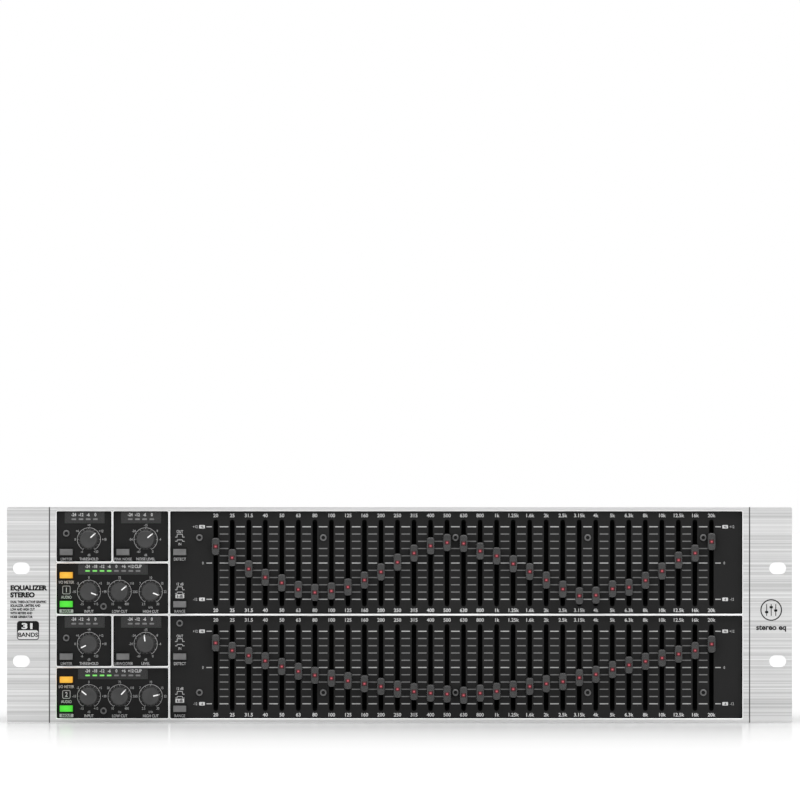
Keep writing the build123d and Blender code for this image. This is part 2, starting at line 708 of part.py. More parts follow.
def mains_fittings():
    """The mains inlet with its three blades, the fuse holder, and the rocker's frame."""
    flange = RectangleRounded(50.0, 23.0, 3.0)
    mouth = RectangleRounded(24.4, 16.4, 2.5)
    screw_holes = [Pos(side * inlet_screw_x, 0) * Circle(screw_hole_radius) for side in (-1, 1)]
    inlet = slab(flange - mouth - screw_holes, rear_y, rear_y + inlet_flange)
    case = Rectangle(inlet_width, inlet_height)
    inlet_end_y = rear_y - inlet_depth - inlet_back
    inlet += slab(case - mouth, rear_y - inlet_depth, rear_y)
    back = slab(case, inlet_end_y, rear_y - inlet_depth)
    blades = []
    for x, z in ((-7.0, -2.0), (7.0, -2.0), (0.0, 2.0)):
        back -= block(x - 1.0, x + 1.0, inlet_end_y, rear_y - inlet_depth, z - 2.0, z + 2.0)
        blades.append(block(x - 1.0, x + 1.0, rear_y - 24.0, rear_y - 3.4, z - 2.0, z + 2.0))
    inlet += back
    at_inlet = Pos(inlet_x, 0, connector_z)
    pieces = [at_inlet * piece for piece in [inlet] + blades]

    barrel = disc(0, 0, 6.0, rear_y - 24.0, rear_y) + disc(0, 0, 7.6, rear_y, rear_y + 1.6)
    barrel -= disc(0, 0, 4.6, rear_y - 20.0, rear_y + 1.6)
    carrier = disc(0, 0, 4.5, rear_y - 20.0, rear_y + 1.6) + disc(0, 0, 6.4, rear_y + 1.6, rear_y + 3.4)
    carrier -= block(-5.0, 5.0, rear_y + 2.6, rear_y + 3.4, -0.7, 0.7)
    pieces += [Pos(fuse_x, 0, fuse_z) * piece for piece in (barrel, carrier)]

    frame = block(-8.2, 8.2, rear_y, rocker_frame_y, -12.0, 12.0)
    frame += block(-6.7, 6.7, rear_y - 18.0, rear_y, -10.2, 10.2)
    half = rocker_length / 2 + 0.3
    bore = Pos(0, rocker_pivot_y, 0) * Rot(0, 90, 0) * Cylinder(rocker_radius + 0.3, 2 * half)
    frame -= bore
    frame -= Pos(0, rocker_pivot_y, 0) * Rot(0, 90, 0) * Cylinder(1.55, 2 * half + 1.4)
    pieces.append(Pos(rocker_x, 0, rocker_z) * frame)
    return pieces


def power_rocker():
    """A shallow-vee rocker on two pivot pips, with its upper half pressed in."""
    barrel = Rot(0, 90, 0) * Cylinder(rocker_radius, rocker_length)
    vee_y = 5.6
    far = 2 * rocker_radius
    rise = far * tan(radians(rocker_tilt))
    keep = Polyline((-2.6, -far), (vee_y + rise, -far), (vee_y, 0), (vee_y + rise, far),
                    (-2.6, far), (-2.6, -far))
    side_view = make_face(Plane.YZ * keep)
    wedge = extrude(side_view, amount=rocker_length / 2, both=True)
    rocker = barrel & wedge
    rocker += Rot(0, 90, 0) * Cylinder(1.5, rocker_length + 1.6)
    return Pos(rocker_x, rocker_pivot_y, rocker_z) * Rot(rocker_tilt, 0, 0) * rocker


# ---------------------------------------------------------------- fasteners
def front_screw():
    """A round-headed socket screw through the plate and the board, with its nut, at x 0, z 0."""
    socket = RegularPolygon(hex_socket / 2, 6, major_radius=False)
    head = disc(0, 0, screw_head_radius, plate_y - screw_head_height, plate_y)
    head = fillet(head.faces().sort_by(Axis.Y)[0].edges(), 0.4)
    head -= slab(socket, plate_y - screw_head_height, plate_y - screw_head_height + hex_socket_depth)
    nut_y = front_board_y + board_thickness
    screw = head + disc(0, 0, screw_radius, plate_y, nut_y + 2.6)
    nut = slab(RegularPolygon(2.5, 6, major_radius=False) - Circle(screw_radius + 0.05), nut_y, nut_y + 2.0)
    return [screw, nut]


def dome_screw(length, head_height):
    """A cross-headed screw along Z, head up, its seat at z 0."""
    head = Cylinder(2.7, head_height, align=(Align.CENTER, Align.CENTER, Align.MIN))
    head = fillet(head.faces().sort_by(Axis.Z)[-1].edges(), 0.7 * head_height)
    for turn in (0, 90):
        head -= Pos(0, 0, head_height) * Rot(0, 0, turn) * Box(2.6, 0.6, head_height)
    shank = Cylinder(screw_radius, length, align=(Align.CENTER, Align.CENTER, Align.MAX))
    return head + shank


def screws():
    """Every fastener of the casing and its connectors."""
    pieces = []
    for x, z in all_front_screws():
        pieces += [Pos(x, 0, z) * piece for piece in front_screw()]
        if x < first_band_x - band_pitch / 2:
            spacer = Circle(spacer_radius) - Circle(screw_hole_radius)
            pieces.append(slab(Pos(x, z) * spacer, plate_back_y, front_board_y))
    to_rear = Rot(-90, 0, 0)
    low_screw = dome_screw(6.0, 0.85)
    cover_screw = dome_screw(4.0, 1.6)
    for x in xlr_male_xs + xlr_female_xs:
        for side in (-1, 1):
            z = connector_z + side * xlr_screw_z
            seat = Pos(x + side * xlr_screw_x, rear_y + xlr_flange, z)
            pieces.append(seat * to_rear * low_screw)
    for side in (-1, 1):
        seat = Pos(inlet_x + side * inlet_screw_x, rear_y + inlet_flange, connector_z)
        pieces.append(seat * to_rear * low_screw)
        for y in cover_screw_ys:
            seat = Pos(side * (body_half_width + sheet_metal), y, cover_screw_z)
            pieces.append(seat * Rot(0, 90 * side, 0) * cover_screw)
        for z in ear_screw_zs:
            seat = Pos(side * ear_screw_x, plate_back_y, z)
            pieces.append(seat * to_rear * dome_screw(3.2, 1.6))
    for x in rear_screw_xs:
        pieces.append(Pos(x, rear_y + sheet_metal, cover_screw_z) * to_rear * cover_screw)
    return pieces


# ---------------------------------------------------------------- the nodes
def main():
    cap = fader_cap()
    lever = fader_lever()
    nodes = {
        "front_panel": [front_panel()],
        "control_plate": [control_plate()],
        "chassis_tray": chassis_tray(),
        "top_cover": [top_cover()],
        "meter_windows": meter_windows(),
        "fader_tracks": fader_tracks(lever),
        "rotary_pots": rotary_pots(),
        "push_switches": push_switches(),
        "control_board": control_board(),
        "fader_board": fader_board(),
        "main_board": main_board(),
        "toroidal_transformer": toroidal_transformer(),
        "xlr_connectors": xlr_connectors(),
        "jack_connectors": jack_connectors(),
        "mains_fittings": mains_fittings(),
        "screws": screws(),
        "power_rocker": [power_rocker()],
    }
    fixed_caps = []
    for channel, band in all_fader_places():
        place = Pos(band_x(band), 0, fader_level_z(channel, band))
        if band in octave_bands:
            nodes[f"fader_{channel}_{octave_bands[band]}"] = [place * cap, place * lever]
        else:
            fixed_caps.append(place * cap)
    nodes["third_octave_caps"] = fixed_caps

    round_knob = knob()
    shaft = knob_shaft()
    plunger = button_stem()
    key = button_cap()
    for channel, angles in ((1, knob_angles_1), (2, knob_angles_2)):
        for role, (x, z) in knob_places.items():
            name = knob_names.get((role, channel), f"{role}_{channel}")
            turned_knob = turned(round_knob, x, z - drop(channel), angles[role])
            nodes[f"knob_{name}"] = [turned_knob, Pos(x, 0, z - drop(channel)) * shaft]
        for role, (x, z) in button_places.items():
            name = button_names.get((role, channel), f"{role}_{channel}")
            place = Pos(x, 0, z - drop(channel))
            nodes[f"button_{name}"] = [place * key, place * plunger]

    os.makedirs("parts", exist_ok=True)
    for name, pieces in nodes.items():
        shape = pieces[0] if len(pieces) == 1 else Compound(pieces)
        export_step(shape, f"parts/{name}.step")
    print(len(nodes), "nodes")


main()
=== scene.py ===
import bpy
import bmesh
import json
import math
from mathutils import Matrix, Vector


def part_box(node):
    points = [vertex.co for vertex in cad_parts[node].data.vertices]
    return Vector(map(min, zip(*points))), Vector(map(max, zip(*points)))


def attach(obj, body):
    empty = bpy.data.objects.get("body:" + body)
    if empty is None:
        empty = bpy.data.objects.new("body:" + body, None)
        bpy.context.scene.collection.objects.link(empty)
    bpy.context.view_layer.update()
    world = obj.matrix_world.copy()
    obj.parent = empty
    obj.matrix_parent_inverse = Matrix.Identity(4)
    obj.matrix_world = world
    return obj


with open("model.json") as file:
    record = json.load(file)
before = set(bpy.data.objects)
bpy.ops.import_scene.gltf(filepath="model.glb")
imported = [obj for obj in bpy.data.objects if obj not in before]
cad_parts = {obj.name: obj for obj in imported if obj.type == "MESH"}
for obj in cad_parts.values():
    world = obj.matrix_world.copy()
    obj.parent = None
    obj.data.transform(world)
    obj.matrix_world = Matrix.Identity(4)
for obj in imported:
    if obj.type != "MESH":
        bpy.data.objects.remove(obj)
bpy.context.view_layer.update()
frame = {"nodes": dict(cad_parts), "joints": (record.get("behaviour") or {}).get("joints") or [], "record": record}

# The looks of a rack-mount graphic equalizer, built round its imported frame.
# Metres; +X to the right seen from the front, controls facing -Y, +Z up.

MM = 0.001
NODES = frame["nodes"]
PLATE_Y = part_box("control_plate")[0].y          # the printed face of the control plate
PANEL_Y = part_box("front_panel")[0].y            # the face of the front panel
WALL_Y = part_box("chassis_tray")[1].y            # the outside of the rear wall
PANEL_LOW, PANEL_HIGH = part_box("front_panel")
INK = 0.04 * MM                                 # thickness of a printed mark


# ---------------------------------------------------------------- camera
VIEW_WIDTH = 0.4918                             # width of the view at the front panel
CAMERA_X = 0.0003
CAMERA_HEIGHT = 0.1983
CAMERA_DISTANCE = 10.0                          # far enough to look almost without perspective
SENSOR_WIDTH = 36.0                             # in the millimetres of Blender's lens

camera_data = bpy.data.cameras.new("camera")
camera_data.sensor_width = SENSOR_WIDTH
camera_data.lens = SENSOR_WIDTH * CAMERA_DISTANCE / VIEW_WIDTH
camera_data.clip_end = 10 * CAMERA_DISTANCE
camera = bpy.data.objects.new("camera", camera_data)
bpy.context.scene.collection.objects.link(camera)
camera.location = (CAMERA_X, PANEL_Y - CAMERA_DISTANCE, CAMERA_HEIGHT)
camera.rotation_euler = (math.radians(90), 0, 0)
bpy.context.scene.camera = camera


# ---------------------------------------------------------------- light
SKY_LIGHT = 2.8                                 # the brightest level
SKY = ((0.0, 1.0), (0.08, 1.0), (0.16, 0.62), (0.50, 0.62), (0.72, SKY_LIGHT))


def studio_sky():
    """A white room: white at eye level, dimmer above that, and a broad soft light overhead.

    Each step of SKY is a direction's height, as the sine of its angle, and the level there.
    """
    world = bpy.data.worlds.new("studio")
    bpy.context.scene.world = world
    world.use_nodes = True
    tree = world.node_tree
    direction = tree.nodes.new("ShaderNodeTexCoord")
    split = tree.nodes.new("ShaderNodeSeparateXYZ")
    ramp = tree.nodes.new("ShaderNodeValToRGB")
    points = ramp.color_ramp.elements
    while len(points) < len(SKY):
        points.new(0.5)
    for point, (height, level) in zip(points, SKY):
        point.position = height
        point.color = (level / SKY_LIGHT, level / SKY_LIGHT, level / SKY_LIGHT, 1.0)
    tree.links.new(direction.outputs["Generated"], split.inputs["Vector"])
    tree.links.new(split.outputs["Z"], ramp.inputs["Fac"])
    tree.links.new(ramp.outputs["Color"], tree.nodes["Background"].inputs["Color"])
    tree.nodes["Background"].inputs["Strength"].default_value = SKY_LIGHT


studio_sky()
bpy.context.scene.view_settings.view_transform = "Standard"


# ---------------------------------------------------------------- materials
NOISE_LOW, NOISE_HIGH = 0.3, 0.7                # most of a noise's values lie between these


class Recipe:
    """A material under construction: its shader, and short ways to add nodes."""

    def __init__(self, name, color, roughness, metallic=0.0):
        self.material = bpy.data.materials.new(name)
        self.material.use_nodes = True
        self.tree = self.material.node_tree
        self.shader = self.tree.nodes["Principled BSDF"]
        self.set("Base Color", (*color, 1.0))
        self.set("Roughness", roughness)
        self.set("Metallic", metallic)
        self.coordinates = None

    def set(self, socket, value):
        self.shader.inputs[socket].default_value = value

    def node(self, kind, **settings):
        made = self.tree.nodes.new(kind)
        for key, value in settings.items():
            setattr(made, key, value)
        return made

    def link(self, source, target):
        self.tree.links.new(source, target)

    def place(self, scale):
        """Object coordinates, times scale, which is in repeats per metre on each axis."""
        if self.coordinates is None:
            self.coordinates = self.node("ShaderNodeTexCoord").outputs["Object"]
        mapping = self.node("ShaderNodeMapping")
        mapping.inputs["Scale"].default_value = scale
        self.link(self.coordinates, mapping.inputs["Vector"])
        return mapping.outputs["Vector"]

    def noise(self, scale, detail=2.0, roughness=0.5):
        noise = self.node("ShaderNodeTexNoise")
        noise.inputs["Scale"].default_value = 1.0
        noise.inputs["Detail"].default_value = detail
        noise.inputs["Roughness"].default_value = roughness
        self.link(self.place(scale), noise.inputs["Vector"])
        return noise.outputs["Fac"]

    def ramp(self, value, stops):
        ramp = self.node("ShaderNodeValToRGB")
        points = ramp.color_ramp.elements
        while len(points) < len(stops):
            points.new(0.5)
        for point, (place, color) in zip(points, stops):
            point.position = place
            point.color = (*color, 1.0)
        self.link(value, ramp.inputs["Fac"])
        return ramp.outputs["Color"]

    def vary_color(self, value, low, high, start=NOISE_LOW, end=NOISE_HIGH):
        self.link(self.ramp(value, [(start, low), (end, high)]), self.shader.inputs["Base Color"])

    def vary_roughness(self, value, low, high):
        stops = [(NOISE_LOW, grey(low)), (NOISE_HIGH, grey(high))]
        self.link(self.ramp(value, stops), self.shader.inputs["Roughness"])

    def bump(self, value, depth, strength=1.0):
        bump = self.node("ShaderNodeBump")
        bump.inputs["Strength"].default_value = strength
        bump.inputs["Distance"].default_value = depth
        self.link(value, bump.inputs["Height"])
        self.link(bump.outputs["Normal"], self.shader.inputs["Normal"])


def grey(level):
    return (level, level, level)


def brushed_aluminium():
    """Long fine streaks across the panel's width."""
    recipe = Recipe("brushed_aluminium", grey(0.6), roughness=0.4, metallic=0.75)
    streaks = recipe.noise((1.2, 60, 900), detail=3.0, roughness=0.65)
    recipe.vary_color(streaks, grey(0.49), grey(0.80), start=0.32, end=0.68)
    fine = recipe.noise((9, 300, 4200), roughness=0.6)
    recipe.vary_roughness(fine, 0.34, 0.5)
    recipe.bump(fine, 0.02 * MM, strength=0.6)
    return recipe.material


def powder_coat(name, low, high, roughness, depth, shine=0.5):
    """Paint with a fine orange peel, between two levels of grey."""
    recipe = Recipe(name, grey(low), roughness)
    recipe.set("Specular IOR Level", shine)
    cloud = recipe.noise((14, 14, 14), detail=3.0)
    recipe.vary_color(cloud, grey(low), grey(high))
    grain = recipe.noise((2600, 2600, 2600), roughness=0.6)
    recipe.vary_roughness(grain, roughness - 0.06, roughness + 0.06)
    recipe.bump(grain, depth)
    return recipe.material


def moulded_plastic(name, color, roughness, depth=0.02 * MM, spread=0.15, shine=0.5):
    """A moulded plastic with a fine spark-eroded grain, its color uneven by spread."""
    recipe = Recipe(name, color, roughness)
    recipe.set("Specular IOR Level", shine)
    cloud = recipe.noise((160, 160, 160))
    low = tuple(part * (1 - spread) for part in color)
    high = tuple(min(1.0, part * (1 + spread)) for part in color)
    recipe.vary_color(cloud, low, high)
    grain = recipe.noise((5200, 5200, 5200))
    recipe.vary_roughness(grain, roughness - 0.05, roughness + 0.05)
    recipe.bump(grain, depth)
    return recipe.material


def plated_metal(name, color, roughness, metallic=1.0):
    """Metal, plated or freshly cut, a little cloudy."""
    recipe = Recipe(name, color, roughness, metallic)
    cloud = recipe.noise((220, 220, 220), detail=3.0)
    recipe.vary_color(cloud, tuple(part * 0.94 for part in color), color)
    recipe.vary_roughness(cloud, roughness - 0.03, roughness + 0.03)
    return recipe.material


def printed_ink(name, level, shine=0.5):
    """Screen-printed ink, a little uneven in cover."""
    recipe = Recipe(name, grey(level), roughness=0.6)
    recipe.set("Specular IOR Level", shine)
    cover = recipe.noise((1800, 1800, 1800))
    recipe.vary_color(cover, grey(level * 0.88), grey(min(1.0, level * 1.06)))
    return recipe.material


def lit_plastic(name, core, rim, strength):
    """A translucent part lit from behind, brightest in the middle of its own box."""
    recipe = Recipe(name, tuple(part * 0.55 for part in core), roughness=0.35)
    inside = recipe.node("ShaderNodeTexCoord").outputs["Generated"]
    centred = recipe.node("ShaderNodeVectorMath", operation="SUBTRACT")
    centred.inputs[1].default_value = (0.5, 0.5, 0.5)
    recipe.link(inside, centred.inputs[0])
    scaled = recipe.node("ShaderNodeVectorMath", operation="MULTIPLY")
    scaled.inputs[1].default_value = (1.5, 0.0, 1.1)
    recipe.link(centred.outputs["Vector"], scaled.inputs[0])
    reach = recipe.node("ShaderNodeVectorMath", operation="LENGTH")
    recipe.link(scaled.outputs["Vector"], reach.inputs[0])
    glow = recipe.ramp(reach.outputs["Value"], [(0.15, core), (0.75, rim)])
    recipe.link(glow, recipe.shader.inputs["Emission Color"])
    recipe.set("Emission Strength", strength)
    return recipe.material


def lit_dome(name, core, rim, strength, rim_facing):
    """A domed lens lit from behind: core where it faces forward, rim below rim_facing.

    How far it faces forward is the cosine of the angle between its face and the front.
    """
    recipe = Recipe(name, tuple(part * 0.5 for part in rim), roughness=0.25)
    recipe.set("Specular IOR Level", 0.3)
    facing = recipe.node("ShaderNodeVectorMath", operation="DOT_PRODUCT")
    facing.inputs[1].default_value = (0, -1, 0)
    recipe.link(recipe.node("ShaderNodeTexCoord").outputs["Normal"], facing.inputs[0])
    glow = recipe.ramp(facing.outputs["Value"], [(rim_facing, rim), (0.999, core)])
    recipe.link(glow, recipe.shader.inputs["Emission Color"])
    recipe.set("Emission Strength", strength)
    return recipe.material


def circuit_board():
    """Green solder mask over a faint pattern of copper tracks."""
    recipe = Recipe("circuit_board", (0.02, 0.1, 0.04), roughness=0.4)
    tracks = recipe.noise((420, 60, 60), detail=1.0)
    recipe.vary_color(tracks, (0.012, 0.07, 0.03), (0.03, 0.15, 0.06), start=0.48, end=0.52)
    recipe.bump(tracks, 0.02 * MM)
    return recipe.material


ALUMINIUM = brushed_aluminium()
# The window bevels get a near-white non-metal in place of aluminium: a painted highlight along each window's edge.
BEVEL_HIGHLIGHT = plated_metal("bevel_painted_highlight", grey(1.0), roughness=0.5, metallic=0.0)
# Dark plastic on the faces of the grooves beside the ears: painted shade in the grooves.
GROOVE_SHADE = moulded_plastic("groove_painted_shade", grey(0.12), roughness=0.8)
PLATE_PAINT = powder_coat("plate_paint", 0.0090, 0.0110, roughness=0.62, depth=0.012 * MM, shine=0.2)
CASE_PAINT = powder_coat("case_paint", 0.016, 0.022, roughness=0.55, depth=0.05 * MM)
CAP_PLASTIC = moulded_plastic("cap_plastic", grey(0.028), roughness=0.26, depth=0.01 * MM, shine=0.6)
KNOB_PLASTIC = moulded_plastic("knob_plastic", grey(0.038), roughness=0.55, shine=0.35)
GREY_BUTTON = moulded_plastic("grey_button", grey(0.125), roughness=0.5)
BLACK_PLASTIC = moulded_plastic("black_plastic", grey(0.012), roughness=0.45)
TRACK_BLACK = moulded_plastic("track_black", grey(0.003), roughness=0.85, shine=0.1)
POT_BLUE = moulded_plastic("pot_blue", (0.01, 0.02, 0.05), roughness=0.5)
SMOKED = moulded_plastic("smoked_lens", grey(0.025), roughness=0.3, depth=0.002 * MM,
                         spread=0.05, shine=0.4)
SCREW_METAL = plated_metal("screw_metal", grey(0.17), roughness=0.4)
# Near-black for the inside of the screws' hexagon sockets: painted shade.
SOCKET_SHADE = moulded_plastic("socket_painted_shade", grey(0.004), roughness=0.8)
NICKEL = plated_metal("nickel", (0.62, 0.6, 0.56), roughness=0.28)
ZINC = plated_metal("zinc", grey(0.5), roughness=0.4)
GOLD = plated_metal("contact_gold", (0.85, 0.62, 0.25), roughness=0.25)
BOARD_GREEN = circuit_board()
WRAP = moulded_plastic("winding_wrap", (0.02, 0.022, 0.03), roughness=0.35, depth=0.1 * MM)
SLEEVE = moulded_plastic("capacitor_sleeve", (0.02, 0.025, 0.06), roughness=0.3)
AMBER_LIT = lit_plastic("amber_lit", (1.0, 0.55, 0.04), (0.8, 0.27, 0.005), strength=0.36)
GREEN_LIT = lit_plastic("green_lit", (0.08, 0.85, 0.03), (0.02, 0.5, 0.01), strength=0.36)
RED_LIT = lit_dome("red_lit", (0.9, 0.14, 0.18), (0.055, 0.008, 0.011),
                   strength=0.65, rim_facing=0.970)
LED_GREEN = lit_dome("meter_green", (0.28, 0.8, 0.20), (0.08, 0.45, 0.06),
                     strength=0.75, rim_facing=0.90)
LED_OFF = moulded_plastic("meter_unlit", grey(0.20), roughness=0.4)
WHITE_INK = printed_ink("white_ink", 0.62)
SILVER_INK = printed_ink("silver_ink", 0.42)
GREY_INK = printed_ink("grey_ink", 0.17)
BLACK_INK = printed_ink("black_ink", 0.006, shine=0.15)
POINTER_WHITE = moulded_plastic("pointer_white", grey(0.85), roughness=0.5, depth=0.005 * MM,
                                spread=0.03)


# ---------------------------------------------------------------- CAD nodes
def dress(node, *materials):
    """Gives a CAD node its materials."""
    slots = NODES[node].data.materials
    slots.clear()
    for material in materials:
        slots.append(material)


def solid_boxes(node):
    """Each separate solid of a CAD node: its polygons and its box."""
    mesh = NODES[node].data
    leader = {}
    keys = [tuple(round(part * 1e6) for part in vertex.co) for vertex in mesh.vertices]

    def find(key):
        while leader.setdefault(key, key) != key:
            leader[key] = leader[leader[key]]
            key = leader[key]
        return key

    for polygon in mesh.polygons:
        first = find(keys[polygon.vertices[0]])
        for vertex in polygon.vertices[1:]:
            leader[find(keys[vertex])] = first
    groups = {}
    for polygon in mesh.polygons:
        groups.setdefault(find(keys[polygon.vertices[0]]), []).append(polygon)
    solids = []
    for polygons in groups.values():
        corners = [mesh.vertices[vertex].co for polygon in polygons for vertex in polygon.vertices]
        low = Vector(min(corner[axis] for corner in corners) for axis in range(3))
        high = Vector(max(corner[axis] for corner in corners) for axis in range(3))
        solids.append((polygons, low, high))
    return solids


def dress_solids(node, materials, choose):
    """Gives each solid of a node the material whose number choose(low, high) returns.

    The solids of one node are told apart by their boxes.
    """
    dress(node, *materials)
    for polygons, low, high in solid_boxes(node):
        number = choose(low, high)
        for polygon in polygons:
            polygon.material_index = number


def dress_faces(node, materials, choose):
    """Gives each face of a node the material whose number choose(centre, normal) returns."""
    dress(node, *materials)
    for polygon in NODES[node].data.polygons:
        polygon.material_index = choose(polygon.center, polygon.normal)


GROOVE_X = 215.2 * MM                           # middle of the groove beside each ear
GROOVE_HALF = 0.4 * MM
GROOVE_DEPTH = 0.7 * MM


def panel_face(place, normal):
    """Number 1 for the bevels round the windows, with a painted highlight, 2 for the grooves, with painted shade,
    0 for the brushed rest.
    """
    beside_ear = abs(abs(place.x) - GROOVE_X) < GROOVE_HALF
    # Faces inside a groove take the painted shade.
    if beside_ear and PANEL_Y + 0.001 * MM < place.y < PANEL_Y + GROOVE_DEPTH:
        return 2
    return 1 if 0.3 < abs(normal.y) < 0.95 else 0


def plate_face(place, normal):
    """Number 0 for the printed face and the back, 1 for the edges of the slots and holes."""
    return 0 if abs(normal.y) > 0.5 else 1


BOARD_LENGTH = 60 * MM                          # only a board is longer than this


def board_choice(low, high):
    """Number 0 for a board, 1 for what stands on it."""
    return 0 if max(high - low) > BOARD_LENGTH else 1


ROUND_TOLERANCE = 0.1 * MM
SPACER_WIDTH = 5.5 * MM                         # a spacer or a screw's head is wider than this
SPACER_HEIGHT = 8 * MM                          # and lower than this
SINK_WIDTH = 25 * MM                            # only the heat sink is wider and taller than these
SINK_HEIGHT = 20 * MM


def main_board_choice(low, high):
    """Number 0 for the board, 1 for a chip or relay, 2 for a capacitor, 3 for bare metal."""
    size = high - low
    if size.x > BOARD_LENGTH:
        return 0
    if abs(size.x - size.y) < ROUND_TOLERANCE:
        return 3 if size.x > SPACER_WIDTH and size.z < SPACER_HEIGHT else 2
    return 3 if size.x > SINK_WIDTH and size.z > SINK_HEIGHT else 1


PAD_WIDTH = 65 * MM                             # only the ring and its pad are wider than this
RING_HEIGHT = 30 * MM


def transformer_choice(low, high):
    """Number 0 for the wound ring, 1 for its pad, 2 for the washer, stud and nut."""
    if high.x - low.x < PAD_WIDTH:
        return 2
    return 0 if high.z - low.z > RING_HEIGHT else 1


SHELL_WIDTH = 25 * MM                           # only a socket's shell is wider than this
LATCH_REACH = 2.9 * MM                          # only a latch stands out further at the rear
PIN_WIDTH = 3 * MM                              # only a contact is narrower than this
NUT_THICKNESS = 5 * MM


def xlr_choice(low, high):
    """Number 0 for a shell or a latch, 1 for insulation, 2 for a pin."""
    width = high.x - low.x
    if width > SHELL_WIDTH or high.y > WALL_Y + LATCH_REACH:
        return 0
    return 2 if width < PIN_WIDTH else 1


def jack_choice(low, high):
    """Number 0 for a housing, 1 for its nut."""
    return 1 if high.y - low.y < NUT_THICKNESS else 0


def mains_choice(low, high):
    """Number 0 for a moulding, 1 for a blade of the inlet."""
    return 1 if high.x - low.x < PIN_WIDTH else 0


SIDE_X = 212 * MM                               # the screws of the cover's sides are beyond this


def screw_choice(low, high):
    """Number 0 for a screw whose head shows, 1 for the nuts and spacers inside."""
    shows = low.y < PLATE_Y or low.y > 0 or abs(low.x) > SIDE_X
    return 0 if shows else 1


def paint_socket_shade():
    """Paints shade inside the hexagon sockets of the control plate's screws: their inner faces turn near-black."""
    socket_radius, front_skip, back_skip = 1.3 * MM, 0.05 * MM, 0.1 * MM
    for polygons, low, high in solid_boxes("screws"):
        if low.y < PLATE_Y:
            axis = (low + high) / 2
            for polygon in polygons:
                place = polygon.center
                reach = math.hypot(place.x - axis.x, place.z - axis.z)
                if reach < socket_radius and low.y + front_skip < place.y < PLATE_Y - back_skip:
                    polygon.material_index = 2


def button_material(node):
    """The meter and in/out buttons are lit."""
    if "meter" in node:
        return AMBER_LIT
    return GREEN_LIT if "in_out" in node else GREY_BUTTON


dress_faces("front_panel", (ALUMINIUM, BEVEL_HIGHLIGHT, GROOVE_SHADE), panel_face)
dress_faces("control_plate", (PLATE_PAINT, TRACK_BLACK), plate_face)
dress("chassis_tray", CASE_PAINT)
dress("top_cover", CASE_PAINT)
dress("meter_windows", SMOKED)
dress("fader_tracks", TRACK_BLACK)
dress("third_octave_caps", CAP_PLASTIC)
dress("rotary_pots", POT_BLUE)
dress("push_switches", BLACK_PLASTIC)
dress("power_rocker", BLACK_PLASTIC)
MOVING_FADERS = [name for name in NODES if name.startswith(("fader_1_", "fader_2_"))]
for name in MOVING_FADERS:
    dress(name, CAP_PLASTIC)
for name in NODES:
    if name.startswith("knob_"):
        dress(name, KNOB_PLASTIC)
    if name.startswith("button_"):
        dress(name, button_material(name))
dress_solids("control_board", (BOARD_GREEN, BLACK_PLASTIC), board_choice)
dress_solids("fader_board", (BOARD_GREEN, BLACK_PLASTIC), board_choice)
dress_solids("main_board", (BOARD_GREEN, BLACK_PLASTIC, SLEEVE, ZINC), main_board_choice)
dress_solids("toroidal_transformer", (WRAP, BLACK_PLASTIC, ZINC), transformer_choice)
dress_solids("xlr_connectors", (NICKEL, BLACK_PLASTIC, GOLD), xlr_choice)
dress_solids("jack_connectors", (BLACK_PLASTIC, NICKEL), jack_choice)
dress_solids("mains_fittings", (BLACK_PLASTIC, NICKEL), mains_choice)
dress_solids("screws", (SCREW_METAL, ZINC, SOCKET_SHADE), screw_choice)
paint_socket_shade()


# ---------------------------------------------------------------- printed and added marks
DOME_LEVELS = 7                                 # rings of corners on a dome, from rim to top
DOME_TURN = 84                                  # degrees from rim to the last ring
CORNER_STEPS = 4                                # edges in each rounded corner
ARC_STEP = 5                                    # degrees of an arc for each edge


